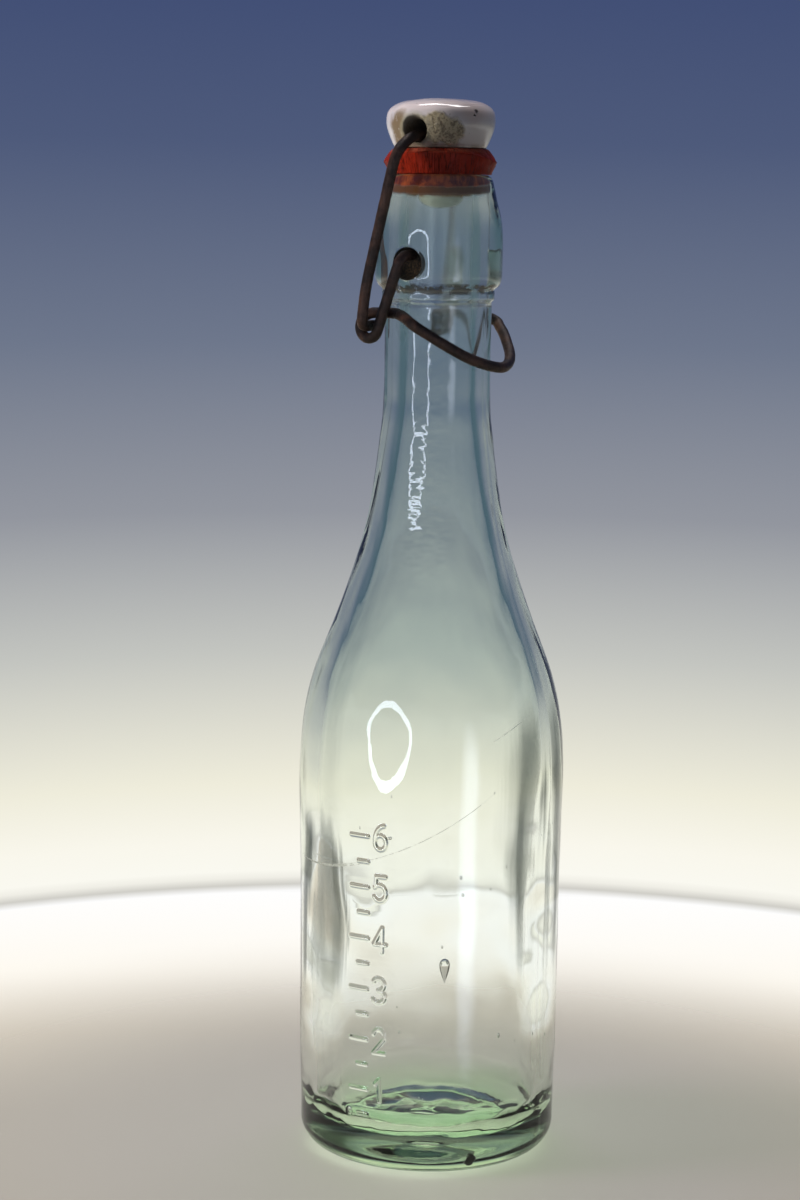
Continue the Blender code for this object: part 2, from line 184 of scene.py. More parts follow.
# Node tools
class Amount:
    """A number that nodes work out, used in sums like any other number."""

    def __init__(self, nodes, socket):
        self.nodes = nodes
        self.socket = socket

    def __add__(self, other):
        return self.nodes.math("ADD", self, other)

    def __sub__(self, other):
        return self.nodes.math("SUBTRACT", self, other)

    def __mul__(self, other):
        return self.nodes.math("MULTIPLY", self, other)

    def __abs__(self):
        return self.nodes.math("ABSOLUTE", self)


class Nodes:
    """A tree of nodes, with the calls that the world and the finishes share."""

    def __init__(self, tree):
        self.tree = tree

    def node(self, kind, inputs=None, **settings):
        """A new node with these settings, and with numbers, colours or other nodes put into its inputs."""
        node = self.tree.nodes.new("ShaderNode" + kind)
        for name, value in settings.items():
            setattr(node, name, value)
        for name, value in (inputs or {}).items():
            self.put(value, node.inputs[name])
        return node

    def put(self, value, socket):
        if isinstance(value, (int, float)):
            socket.default_value = value
        elif isinstance(value, tuple):
            socket.default_value = value if len(value) == len(socket.default_value) else (*value, 1.0)
        else:
            source = value.socket if isinstance(value, Amount) else value
            self.tree.links.new(source, socket)

    def math(self, operation, *values):
        node = self.node("Math", dict(enumerate(values)), operation=operation)
        return Amount(self, node.outputs[0])

    def most(self, first, *others):
        for other in others:
            first = self.math("MAXIMUM", first, other)
        return first

    def between(self, share, first, second):
        """A surface that is the first shader at 0 and the second at 1."""
        return self.node("MixShader", {0: share, 1: first, 2: second}).outputs[0]

    def range(self, value, low, high, to_low=0.0, to_high=1.0, kind="SMOOTHSTEP"):
        limits = {"From Min": low, "From Max": high, "To Min": to_low, "To Max": to_high}
        node = self.node("MapRange", {"Value": value, **limits}, interpolation_type=kind)
        return Amount(self, node.outputs["Result"])

    def ramp(self, share, stops):
        """A colour ramp through (place from 0 to 1, colour) stops."""
        node = self.node("ValToRGB", {"Fac": share})
        elements = node.color_ramp.elements
        while len(elements) < len(stops):
            elements.new(1.0)
        for element, (place, colour) in zip(elements, stops):
            element.position = place
            element.color = (*colour, 1.0)
        return node.outputs["Color"]


class Look(Nodes):
    """A material's nodes, with the calls that the finishes share."""

    def __init__(self, name):
        self.material = bpy.data.materials.new(name)
        self.material.use_nodes = True
        super().__init__(self.material.node_tree)
        self.shader = self.tree.nodes["Principled BSDF"]
        self.output = self.tree.nodes["Material Output"]
        self.place = self.node("TexCoord").outputs["Object"]

    def dress(self, inputs):
        """Puts values into the shader's inputs."""
        for name, value in inputs.items():
            self.put(value, self.shader.inputs[name])
        return self.material

    def shown(self, surface):
        self.put(surface, self.output.inputs["Surface"])

    def clear(self, colour=(1.0, 1.0, 1.0)):
        return self.node("BsdfTransparent", {"Color": colour}).outputs[0]

    def glow(self, colour, strength=1.0):
        return self.node("Emission", {"Color": colour, "Strength": strength}).outputs[0]

    def colour(self, share, first, second):
        return self.node("Mix", {0: share, 6: first, 7: second}, data_type="RGBA").outputs[2]

    def layered(self, colour, *layers):
        """The colour with (share, colour) layers laid over it in turn."""
        for share, laid in layers:
            colour = self.colour(share, colour, laid)
        return colour

    def noise(self, scale, detail=3.0, roughness=0.5, place=None, distortion=0.0):
        inputs = {"Scale": scale, "Detail": detail, "Roughness": roughness, "Distortion": distortion}
        node = self.node("TexNoise", {"Vector": place or self.place, **inputs})
        return Amount(self, node.outputs["Fac"])

    def patches(self, scale, low, high, *rest):
        """Noise turned into patches that fade in from low to high."""
        return self.range(self.noise(scale, *rest), low, high)

    def scaled(self, scale, place=None):
        node = self.node("VectorMath", {0: place or self.place, 1: scale}, operation="MULTIPLY")
        return node.outputs[0]

    def length(self, across, up):
        return self.math("SQRT", across * across + up * up)

    def line(self, value, middle, end, full):
        """1 within full of the middle value, and 0 beyond end of it."""
        return self.range(abs(value - middle), end, full)

    def spots(self, spots):
        return self.most(*[self.near(*spot) for spot in spots])

    def near(self, point, radius, soft, wobble=0.0, wobble_scale=400.0, squash=(1.0, 1.0, 1.0)):
        """1 close to a point and 0 beyond the radius, with a ragged edge if asked."""
        away = self.node("VectorMath", {0: self.place, 1: point}, operation="SUBTRACT").outputs[0]
        length = self.node("VectorMath", {0: self.scaled(squash, away)}, operation="LENGTH")
        distance = Amount(self, length.outputs["Value"])
        if wobble:
            distance = distance + (self.noise(wobble_scale) - 0.5) * wobble
        return self.range(distance, radius, radius - soft)

    def bump(self, height, strength, distance, before=None):
        inputs = {"Height": height, "Strength": strength, "Distance": distance}
        if before is not None:
            inputs["Normal"] = before
        return self.node("Bump", inputs).outputs["Normal"]

    def parts_of_place(self):
        node = self.node("SeparateXYZ", {0: self.place})
        return [Amount(self, part) for part in node.outputs]


# Camera, world, floor and backdrop
def placed(name, data):
    made = bpy.data.objects.new(name, data)
    bpy.context.scene.collection.objects.link(made)
    return made


def mesh_of(name, shape):
    """A mesh from a bmesh, which is freed."""
    mesh = bpy.data.meshes.new(name)
    shape.to_mesh(mesh)
    shape.free()
    return mesh


def stage_object(name, shape, look):
    """A piece of the studio from a bmesh."""
    made = placed(name, mesh_of(name, shape))
    made.data.materials.append(look.material)
    return made


def make_camera():
    pitch = math.radians(CAMERA_PITCH_DEG)
    yaw = math.radians(CAMERA_YAW_DEG)
    roll = math.radians(CAMERA_ROLL_DEG)
    camera = placed("photo_camera", bpy.data.cameras.new("photo_camera"))
    camera.data.sensor_width = CAMERA_SENSOR_MM
    camera.data.lens = CAMERA_LENS_MM
    position = Vector((FACING_X * CAMERA_DISTANCE, FACING_Y * CAMERA_DISTANCE, CAMERA_HEIGHT))
    level = Vector((-FACING_X, -FACING_Y, 0.0))
    left = Vector((-level.y, level.x, 0.0))
    level = (level * math.cos(yaw) + left * math.sin(yaw)).normalized()
    right = Vector((level.y, -level.x, 0.0))
    ahead = level * math.cos(pitch) - Vector((0.0, 0.0, math.sin(pitch)))
    up = right.cross(ahead)
    across = right * math.cos(roll) + up * math.sin(roll)
    upright = up * math.cos(roll) - right * math.sin(roll)
    columns = (across, upright, -ahead, position)
    camera.matrix_world = Matrix([[column[row] for column in columns] for row in range(3)] + [[0, 0, 0, 1]])
    bpy.context.scene.camera = camera


# What rays see of the studio, by the sine of their rise: a pale floor, a bright low band, blue-grey above
WORLD_LOW = -0.40
WORLD_HIGH = 0.40
WORLD_FILL = (0.95, 0.97, 1.0)
WORLD_FILL_STRENGTH = 0.10
world_stops = (
    (-0.40, (0.41, 0.36, 0.29)), (-0.315, (0.48, 0.43, 0.36)), (-0.29, (0.74, 0.67, 0.56)),
    (-0.27, (1.0, 0.96, 0.88)), (-0.2425, (1.0, 1.0, 1.0)), (-0.2413, (0.58, 0.58, 0.56)),
    (-0.2393, (0.66, 0.64, 0.58)), (-0.2370, (0.96, 0.95, 0.88)), (-0.225, (0.95, 0.93, 0.84)),
    (-0.205, (0.86, 0.84, 0.71)), (-0.16, (0.55, 0.56, 0.53)), (-0.11, (0.29, 0.305, 0.345)),
    (-0.05, (0.155, 0.185, 0.26)), (0.02, (0.076, 0.103, 0.197)), (0.08, (0.050, 0.074, 0.175)),
    (0.40, (0.045, 0.066, 0.160)),
)


def make_world():
    """Rays that see the world find its graded colours; surfaces are lit by an even pale fill."""
    world = bpy.data.worlds.new("studio")
    bpy.context.scene.world = world
    world.use_nodes = True
    nodes = Nodes(world.node_tree)
    nodes.tree.nodes.clear()
    stops = [((rise - WORLD_LOW) / (WORLD_HIGH - WORLD_LOW), colour) for rise, colour in world_stops]
    parts = nodes.node("SeparateXYZ", {0: nodes.node("TexCoord").outputs["Generated"]})
    graded = nodes.ramp(nodes.range(parts.outputs["Z"], WORLD_LOW, WORLD_HIGH, kind="LINEAR"), stops)
    seen = nodes.node("Background", {"Color": graded})
    fill = nodes.node("Background", {"Color": WORLD_FILL, "Strength": WORLD_FILL_STRENGTH})
    path = nodes.node("LightPath")
    seeing = nodes.most(*[path.outputs[f"Is {ray} Ray"] for ray in ("Camera", "Glossy", "Transmission")])
    nodes.node("OutputWorld", {"Surface": nodes.between(seeing, fill.outputs[0], seen.outputs[0])})


FLOOR_RADIUS = 0.9
FLOOR_DROP = 0.0001
FLOOR_FADE_START = 0.05
FLOOR_FADE_END = 0.19
FLOOR_COLOUR = (0.555, 0.525, 0.480)


def make_floor():
    """A pale round floor that fades out into the world before its rim."""
    look = Look("floor")
    look.dress({"Base Color": FLOOR_COLOUR, "Roughness": 0.6, "Specular IOR Level": 0.2})
    near = look.near((0.0, 0.0, 0.0), FLOOR_FADE_END, FLOOR_FADE_END - FLOOR_FADE_START)
    look.shown(look.between(near, look.clear(), look.shader.outputs[0]))
    shape = bmesh.new()
    bmesh.ops.create_circle(shape, cap_ends=True, segments=96, radius=FLOOR_RADIUS)
    floor = stage_object("floor", shape, look)
    floor.location.z = -FLOOR_DROP


BACKDROP_RADIUS = 0.28
BACKDROP_FOOT_RISE = -0.2426
BACKDROP_SIDE_DEG = (33.0, 60.0)
BACKDROP_SIDE_HEIGHT = (0.080, 0.150)
BACKDROP_SIDE_COLOUR = (0.078, 0.132, 0.172)


def backdrop_height(rise):
    """How high the camera sees that rise on the far side of the backdrop."""
    return CAMERA_HEIGHT + (CAMERA_DISTANCE + BACKDROP_RADIUS) * math.tan(math.asin(rise))


def make_backdrop():
    """A round wall with the world's colours, seen from its inside only; the glass sees its sides dark."""
    low, high = backdrop_height(BACKDROP_FOOT_RISE), backdrop_height(WORLD_HIGH)
    look = Look("backdrop")
    x, y, z = look.parts_of_place()
    stops = [
        ((backdrop_height(rise) - low) / (high - low), colour)
        for rise, colour in world_stops if rise > BACKDROP_FOOT_RISE
    ]
    graded = look.ramp(look.range(z, low, high, kind="LINEAR"), stops)
    start, end = [BACKDROP_RADIUS * math.cos(math.radians(angle)) for angle in BACKDROP_SIDE_DEG]
    behind = x * -FACING_X + y * -FACING_Y
    not_camera = look.math("SUBTRACT", 1.0, look.node("LightPath").outputs["Is Camera Ray"])
    side = look.range(behind, start, end) * look.range(z, *BACKDROP_SIDE_HEIGHT) * not_camera
    glow = look.glow(look.colour(side, graded, BACKDROP_SIDE_COLOUR))
    look.shown(look.between(look.node("NewGeometry").outputs["Backfacing"], glow, look.clear()))
    shape = bmesh.new()
    bmesh.ops.create_cone(
        shape, cap_ends=False, segments=128, depth=high - low,
        radius1=BACKDROP_RADIUS, radius2=BACKDROP_RADIUS,
    )
    bmesh.ops.translate(shape, verts=shape.verts, vec=(0.0, 0.0, (high + low) / 2))
    bmesh.ops.reverse_faces(shape, faces=shape.faces)
    wall = stage_object("backdrop", shape, look)
    wall.visible_diffuse = False
    wall.visible_glossy = False
    wall.visible_shadow = False


# Lamps, as (name, place around the bottle, width and height, watts, colour, whether gloss shows them).
# A place is an azimuth from the camera's side, with 90 to its right, a distance and a height.
LAMP_TARGET = (0.0, 0.0, 0.13)
lamps = (
    ("key", (-80, 0.9, 0.50), (0.35, 0.5), 8.8, (1.0, 0.97, 0.93), False),
    ("fill", (60, 1.0, 0.45), (0.5, 0.7), 0.25, (0.90, 0.95, 1.0), False),
    ("top", (175, 0.32, 0.95), (0.55, 0.16), 3.0, (1.0, 1.0, 1.0), True),
)


def aim(thing, target):
    thing.rotation_euler = (Vector(target) - thing.location).to_track_quat("-Z", "Y").to_euler()


def around(azimuth_deg, distance, height):
    angle = math.radians(FACING_DEG + azimuth_deg)
    return Vector((math.cos(angle) * distance, math.sin(angle) * distance, height))


def make_lamps():
    for name, place, (width, height), power, colour, in_gloss in lamps:
        light = bpy.data.lights.new(name, "AREA")
        light.shape = "RECTANGLE"
        light.size = width
        light.size_y = height
        light.energy = power
        light.color = colour
        lamp = placed(name, light)
        lamp.location = around(*place)
        aim(lamp, LAMP_TARGET)
        lamp.visible_glossy = in_gloss
        lamp.visible_transmission = False


# Cards around the bottle: bright ones that only gloss sees, and dark ones that only the glass sees through
WINDOW_DISTANCE = 0.80
WINDOW_COLOUR = (0.76, 0.85, 1.0)
OVAL_HALF_SIZES = (0.30, 0.21)
OVAL_BORDER = 0.042
OVAL_AZIMUTH_DEG = -37
OVAL_HEIGHT = 0.150
OVAL_STRENGTH = 12.0
SOFT_HALF_SIZES = (0.15, 0.36)
SOFT_AZIMUTH_DEG = 33
SOFT_HEIGHT = -0.060
SOFT_STRENGTH = 5.5
SOFT_FADE = 0.7
SHADE_DISTANCE = 0.14
SHADE_FADE = 0.5
SHADE_COLOUR = (0.058, 0.073, 0.060)

# The dark room beside the table, low behind the bottle, as (name, azimuth, height, half sizes)
shades = (
    ("left_shade", -141, 0.025, (0.052, 0.030)),
    ("right_shade", 145, 0.048, (0.062, 0.048)),
)


def add_card(name, shape, place, colour, strength, half_sizes=None, fade=0.0):
    """Hangs a card that faces the axis, and fades towards its rim where half sizes are given."""
    look = Look(name)
    glow = look.glow(colour, strength)
    if half_sizes:
        squash = (1 / half_sizes[0], 1 / half_sizes[1], 1.0)
        glow = look.between(look.near((0.0, 0.0, 0.0), 1.0, fade, squash=squash), look.clear(), glow)
    look.shown(glow)
    card = stage_object(name, shape, look)
    card.location = place
    aim(card, (0.0, 0.0, place.z))
    card.visible_camera = False
    card.visible_diffuse = False
    card.visible_shadow = False
    return card


def sheet_shape(half_width, half_height):
    shape = bmesh.new()
    bmesh.ops.create_grid(shape, x_segments=1, y_segments=1, size=1.0)
    bmesh.ops.scale(shape, verts=shape.verts, vec=(half_width, half_height, 1.0))
    return shape


def frame_shape(half_width, half_height, border, steps=64):
    """An oval frame, open in the middle."""
    shape = bmesh.new()
    rings = []
    for inset in (0.0, border):
        width, height = half_width - inset, half_height - inset
        rings.append([
            shape.verts.new((math.cos(angle) * width, math.sin(angle) * height, 0.0))
            for angle in even_angles(steps)
        ])
    skin(shape, rings)
    return shape


def make_windows():
    oval = frame_shape(*OVAL_HALF_SIZES, OVAL_BORDER)
    oval_place = around(OVAL_AZIMUTH_DEG, WINDOW_DISTANCE, OVAL_HEIGHT)
    sheet = sheet_shape(*SOFT_HALF_SIZES)
    soft_place = around(SOFT_AZIMUTH_DEG, WINDOW_DISTANCE, SOFT_HEIGHT)
    for card in (
        add_card("oval_window", oval, oval_place, WINDOW_COLOUR, OVAL_STRENGTH),
        add_card("soft_window", sheet, soft_place, WINDOW_COLOUR, SOFT_STRENGTH, SOFT_HALF_SIZES, SOFT_FADE),
    ):
        card.visible_transmission = False


def make_shades():
    for name, azimuth_deg, height, half_sizes in shades:
        place = around(azimuth_deg, SHADE_DISTANCE, height)
        card = add_card(name, sheet_shape(*half_sizes), place, SHADE_COLOUR, 1.0, half_sizes, SHADE_FADE)
        card.visible_glossy = False


# Mesh tools
POLE_RADIUS = 1e-7
CUTTER_SIDES = 48
WIRE_SIDES = 18
WIRE_STEP = 0.00042
WIRE_PITTING = 0.05
NEARLY_PARALLEL = 0.1
wire_end_shares = (0.55, 0.86, 0.97)
wire_pits = ((0.0022, 0.6), (0.0007, 0.4))


def mix(start, end, share):
    return start + (end - start) * share


def clamped(value):
    return min(1.0, max(0.0, value))


def smooth_step(value):
    value = clamped(value)
    return value * value * (3 - 2 * value)


def smooth_through(points, steps):
    """Points on a Catmull-Rom curve through the given ones, with some steps between each two."""
    vectors = [Vector(point) for point in points]
    padded = [2 * vectors[0] - vectors[1], *vectors, 2 * vectors[-1] - vectors[-2]]
    found = []
    for index in range(1, len(padded) - 2):
        a, b, c, d = padded[index - 1 : index + 3]
        for step in range(steps):
            t = step / steps
            found.append(
                0.5 * ((2 * b) + (c - a) * t + (2 * a - 5 * b + 4 * c - d) * t * t
                       + (3 * b - a - 3 * c + d) * t * t * t)
            )
    found.append(vectors[-1])
    return found


def evenly_spaced(points, spacing):
    """The same route with its points close to the given spacing apart."""
    lengths = [0.0]
    for start, end in zip(points, points[1:]):
        lengths.append(lengths[-1] + (end - start).length)
    count = max(1, round(lengths[-1] / spacing))
    found = []
    index = 0
    for step in range(count + 1):
        wanted = lengths[-1] * step / count
        while index < len(points) - 2 and lengths[index + 1] < wanted:
            index += 1
        share = (wanted - lengths[index]) / (lengths[index + 1] - lengths[index])
        found.append(points[index].lerp(points[index + 1], share))
    return found


def arc(middle_x, middle_z, half_width, half_height, start_deg, end_deg, steps=10):
    """Points of a round or oval arc, both ends included."""
    angles = [math.radians(mix(start_deg, end_deg, step / steps)) for step in range(steps + 1)]
    return [
        (middle_x + half_width * math.cos(angle), middle_z + half_height * math.sin(angle))
        for angle in angles
    ]


def quarter(centre_radius, centre_z, radius, start_deg, end_deg, steps):
    return arc(centre_radius, centre_z, radius, radius, start_deg, end_deg, steps)


def dense(profile, spacing):
    """The profile with points no further apart than the spacing; its own corners stay."""
    found = [profile[0]]
    for start, end in zip(profile, profile[1:]):
        length = math.hypot(end[0] - start[0], end[1] - start[1])
        count = max(1, math.ceil(length / spacing))
        for step in range(1, count + 1):
            share = step / count
            found.append((mix(start[0], end[0], share), mix(start[1], end[1], share)))
    return found


def curved(points, steps=3):
    return [(point.x, point.y) for point in smooth_through([(r, z, 0.0) for r, z in points], steps)]


def fractal(place, size, octaves=3):
    """Smooth noise from about -1 to 1 whose largest swells are as wide as the size given."""
    return noise.fractal(place / size, 0.5, 2.0, octaves)


def swell(place, shift, size):
    """The same with two octaves; the shift picks another stretch of the noise."""
    return fractal(place + Vector(shift), size, 2)


def skin(shape, rings, turned_over=False):
    """Faces from ring to ring; a ring that is one vertex over and over closes to a point."""
    for first, second in zip(rings, rings[1:]):
        for side in range(len(first)):
            after = (side + 1) % len(first)
            corners = [first[side], first[after], second[after], second[side]]
            if turned_over:
                corners[1:] = reversed(corners[1:])
            shape.faces.new(tuple(dict.fromkeys(corners)))


def even_angles(count):
    return [2 * math.pi * step / count for step in range(count)]


def turned_mesh(name, profile, columns, move, closed=False):
    """A closed turned solid from (radius, z) points that run down its outside, moved along its normals."""
    count = len(profile)
    shape = bmesh.new()
    rings = []
    for index, (radius, z) in enumerate(profile):
        before = profile[index - 1] if index or closed else profile[index]
        after = profile[(index + 1) % count] if index < count - 1 or closed else profile[index]
        run, rise = after[0] - before[0], after[1] - before[1]
        length = math.hypot(run, rise) or 1.0
        at_pole = radius < POLE_RADIUS
        across, upwards = (0.0 if at_pole else -rise / length), run / length
        ring = []
        for angle in even_angles(columns)[: 1 if at_pole else columns]:
            place = Vector((radius * math.cos(angle), radius * math.sin(angle), z))
            outwards = Vector((across * math.cos(angle), across * math.sin(angle), upwards))
            ring.append(shape.verts.new(place + outwards * move(place, index)))
        rings.append(ring * columns if at_pole else ring)
    skin(shape, [*rings, rings[0]] if closed else rings, turned_over=True)
    return mesh_of(name, shape)


def dressed_piece(name, mesh, material):
    piece = placed(name, mesh)
    mesh.materials.append(material)
    return piece


def stand_in(piece, node, body):
    """Shows the piece, smooth all over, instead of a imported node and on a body."""
    for polygon in piece.data.polygons:
        polygon.use_smooth = True
    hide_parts(node)
    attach(piece, body)


def cut_away(piece, cutters):
    """Cuts each cutter's mesh out of the piece's mesh, and removes the cutters."""
    for cutter in cutters:
        cut = piece.modifiers.new("Cut", "BOOLEAN")
        cut.operation = "DIFFERENCE"
        cut.solver = "EXACT"
        cut.object = cutter
    graph = bpy.context.evaluated_depsgraph_get()
    cut_mesh = bpy.data.meshes.new_from_object(piece.evaluated_get(graph))
    piece.modifiers.clear()
    piece.data = cut_mesh
    for cutter in cutters:
        bpy.data.objects.remove(cutter)


def turned_cutter(name, profile, side, z):
    """A cutter along X from (radius, distance) points that start and end on its axis."""
    mesh = turned_mesh(name, profile, CUTTER_SIDES, lambda place, index: 0.0)
    turn = Matrix.Rotation(math.radians(90 * side), 4, "Y")
    mesh.transform(Matrix.Translation((0.0, 0.0, z)) @ turn)
    return placed(name, mesh)


def tube_mesh(name, points, radius, sides, rough):
    """A round wire along the points, with pitted sides and rounded ends."""
    places = np.array([tuple(point) for point in points])
    tangents = np.gradient(places, axis=0)
    tangents /= np.linalg.norm(tangents, axis=1)[:, None]
    normal = np.cross(tangents[0], (0.0, 1.0, 0.0))
    if np.linalg.norm(normal) < NEARLY_PARALLEL:
        normal = np.cross(tangents[0], (0.0, 0.0, 1.0))
    shape = bmesh.new()
    rings = []
    last = len(places) - 1
    for index, (place, tangent) in enumerate(zip(places, tangents)):
        normal = normal - tangent * np.dot(normal, tangent)
        normal /= np.linalg.norm(normal)
        other = np.cross(tangent, normal)
        from_end = min(index, last - index)
        shrink = wire_end_shares[from_end] if from_end < len(wire_end_shares) else 1.0
        ring = []
        for angle in even_angles(sides):
            out = normal * math.cos(angle) + other * math.sin(angle)
            spot = Vector(place + out * radius)
            grow = 1.0 + rough * sum(fractal(spot, size) * share for size, share in wire_pits)
            ring.append(shape.verts.new(place + out * radius * shrink * grow))
        rings.append(ring)
    skin(shape, rings)
    shape.faces.new(list(reversed(rings[0])))
    shape.faces.new(rings[-1])
    return mesh_of(name, shape)


# The glass finish. A fade is (where it starts, where it is full); a spot is (place, radius, soft edge,
# raggedness, its noise's scale, squash); a pair of colours is (first, second). Noise takes its scale,
# detail and roughness, and the numbers from 0 to 1 are shares of a noise or of a layer.
INSIDE_RADII = (0.0096, 0.0090)
STAIN_RAGGEDNESS = 0.0012
# Painted refraction: the red rubber as seen through the lip, painted onto the glass at the top of the mouth
PAINTED_RUBBER_IMAGE_FADE = (0.2231, 0.2237)
PAINTED_RUBBER_IMAGE_COLOURS = ((0.080, 0.005, 0.002), (0.36, 0.062, 0.008))
RING_HEIGHT = 0.2226
RING_FADE = (0.0015, 0.0004)
RING_COLOUR = (0.115, 0.034, 0.004)
# Painted glow: a brownish light below the painted image of the rubber
PAINTED_GLOW_FADE = (0.2202, 0.2226)
PAINTED_GLOW_COLOUR = (0.26, 0.130, 0.026)
LIME_SPOT = (on_face(BORE_RADIUS, 0.0002, 0.2211), 0.0050, 0.0014, 0.0008, 300.0, (1.0, 1.0, 1.7))
LIME_COLOURS = ((0.42, 0.42, 0.29), (0.56, 0.56, 0.43))
HAZE_FADE = (0.2085, 0.2200)
HAZE_TINT = (0.76, 0.80, 0.78)


def mouth_stains_and_painted_light(look, inner, z):
    """A brown ring from the old rubber, lime and a haze inside the mouth, and painted light: the red rubber
    as seen through the lip, with a glow below it.
    """
    height = z + (look.noise(420.0, 5.0, 0.7) - 0.5) * STAIN_RAGGEDNESS
    # Painted refraction of the red rubber seen through the lip
    painted_rubber_image = look.range(height, *PAINTED_RUBBER_IMAGE_FADE) * inner
    ring = look.line(height, RING_HEIGHT, *RING_FADE) * inner
    # Painted glow below the rubber's painted image, in patches
    glow = look.range(height, *PAINTED_GLOW_FADE) * look.patches(300.0, 0.30, 0.55) * inner
    lime = look.near(*LIME_SPOT) * inner * 0.60
    haze = look.range(height, *HAZE_FADE) * inner
    mottle = look.noise(420.0, 4.0, 0.65)
    colour = look.layered(
        look.colour(look.range(mottle, 0.35, 0.60), *LIME_COLOURS),
        (look.range(glow, 0.0, 0.5), PAINTED_GLOW_COLOUR),
        (look.range(ring, 0.0, 0.35), RING_COLOUR),
        (painted_rubber_image, look.colour(look.range(mottle, 0.40, 0.66), *PAINTED_RUBBER_IMAGE_COLOURS)),
    )
    return look.most(ring * 0.92, glow * 0.42, painted_rubber_image, lime), colour, haze


GROOVE_HEIGHT = collar_foot + 0.0001
GROOVE_FADE = (0.0016, 0.0003)
GROOVE_RADII = (0.0112, 0.0120)
GROOVE_COLOUR = (0.15, 0.125, 0.09)


def groove_dirt(look, radius, z):
    """Grime in the groove between the band and the collar."""
    dirt = look.line(z, GROOVE_HEIGHT, *GROOVE_FADE) * look.patches(330.0, 0.40, 0.58, 5.0, 0.7)
    return dirt * look.range(radius, *GROOVE_RADII) * 0.60


PACKED_RADII = (0.0040, 0.0035)
PACKED_OUTER = (0.0146, 0.0136)
PACKED_INNER = (0.0098, 0.0101)
FAR_SIDE = (-0.002, 0.002)
GRIME_COLOURS = ((0.003, 0.002, 0.0015), (0.060, 0.034, 0.015))
FAR_GRIME_COLOUR = (0.10, 0.13, 0.12)


def pivot_hole_dirt(look, x, y, z):
    """Rust and grime packed into both pivot holes, thinner in the far one, and its colour."""
    out = abs(x)
    dirt = look.range(look.length(y, z - pivot_hole_z), *PACKED_RADII) * look.range(out, *PACKED_OUTER)
    dirt = dirt * look.range(out, *PACKED_INNER) * look.range(x, *FAR_SIDE, 1.0, 0.30)
    grime = look.colour(look.patches(2200.0, 0.44, 0.64, 4.0, 0.75), *GRIME_COLOURS)
    grime = look.colour(look.range(x, *FAR_SIDE), grime, FAR_GRIME_COLOUR)
    return dirt * look.patches(700.0, 0.12, 0.34, 5.0, 0.7), grime


# Scratches on the body, as (height at the face's middle, slope, bend, first and last turn in radians)
scratches = (
    (0.0797, 0.01664, 0.00718, -1.30, 0.55),
    (0.0789, 0.01600, 0.00718, -1.35, -0.35),
    (0.0945, 0.01350, 0.0, 0.40, 0.95),
)
SCRATCH_FADE = (0.00022, 0.00004)
SCRATCH_START = 0.15
SCRATCH_END = 0.25
SCRATCH_COLOUR = (0.95, 0.97, 0.93)
WALL_OUTSIDE = (0.0265, 0.0285)
SCUFF_TURNS = (-26.0, 3.0)
SCUFF_RISE = 2300.0
SCUFF_HEIGHT = (0.090, 0.020, 0.006)
SCUFF_TURN = (0.25, 0.95, 0.30)


def long_scratches(look, turn, z):
    """Fine broken scratches that climb round the body."""
    found = []
    for base, slope, bend, start, end in scratches:
        curve = turn * turn * bend + (turn * slope + base)
        line = look.line(z, curve, *SCRATCH_FADE) * look.range(turn, start, start + SCRATCH_START)
        found.append(line * look.range(turn, end, end - SCRATCH_END))
    return look.most(*found) * look.range(look.noise(700.0), 0.30, 0.55, 0.25, 1.0)


def scuffs(look, turn, z):
    """Faint slanting hatching low on the shoulder."""
    slant = look.node("CombineXYZ", {0: turn * SCUFF_TURNS[0] + z * SCUFF_RISE, 1: turn * SCUFF_TURNS[1]})
    hatch = look.patches(1.0, 0.60, 0.74, 2.0, 0.6, slant.outputs[0])
    return hatch * (look.line(z, *SCUFF_HEIGHT) * look.line(turn, *SCUFF_TURN))


STREAK_SCALE = (260.0, 260.0, 14.0)
STREAK_DEPTH = 0.0006
SKIN_SCALE = (330.0, 330.0, 430.0)
SKIN_DEPTH = 0.00013
SKIN_FOOT = (0.128, 0.150)
SKIN_TOP = (0.201, 0.194)
HATCH_SCALE = (260.0, 260.0, 1500.0)
HATCH_FOOT = (0.140, 0.152)
HATCH_TOP = (0.186, 0.172)
LIT_TURN = 0.12
LIT_FADE = (0.45, 0.20)


def glass_normal(look, turn, z):
    """Drawn streaks all over, and a rough skin on the neck that breaks its highlights up."""
    streaks = look.noise(1.0, 2.0, 0.5, look.scaled(STREAK_SCALE))
    lit_side = look.range(abs(turn + LIT_TURN), *LIT_FADE, 0.12, 1.0)
    rough = look.noise(1.0, 1.0, 0.5, look.scaled(SKIN_SCALE)) * lit_side
    rough = rough * look.range(z, *SKIN_FOOT) * look.range(z, *SKIN_TOP)
    hatch = look.noise(1.0, 1.0, 0.5, look.scaled(HATCH_SCALE)) * lit_side
    hatch = hatch * look.range(z, *HATCH_FOOT) * look.range(z, *HATCH_TOP, 0.0, 0.11)
    return look.bump(rough + hatch, 1.0, SKIN_DEPTH, look.bump(streaks, 0.06, STREAK_DEPTH))


BASE_FADE = (0.0150, 0.0030)
BODY_TINT = (0.99, 1.0, 0.995)
BASE_TINT = (0.84, 0.98, 0.82)
NECK_FADE = (0.085, 0.125)
NECK_TINT = (0.890, 0.948, 0.938)
CLOUD_FADE = (0.180, 0.200)
HEEL_SPECK = (on_face(0.0294, 0.0100, 0.0037), 0.0014, 0.0003, 0.0014, 700.0, (1.0, 1.0, 0.7))
SPECK_COLOUR = (0.006, 0.006, 0.005)
SHADOW_TINT = (0.962, 0.982, 0.962)
DEPTH_COLOUR = (0.82, 0.89, 0.77)
DEPTH_DENSITY = 40.0


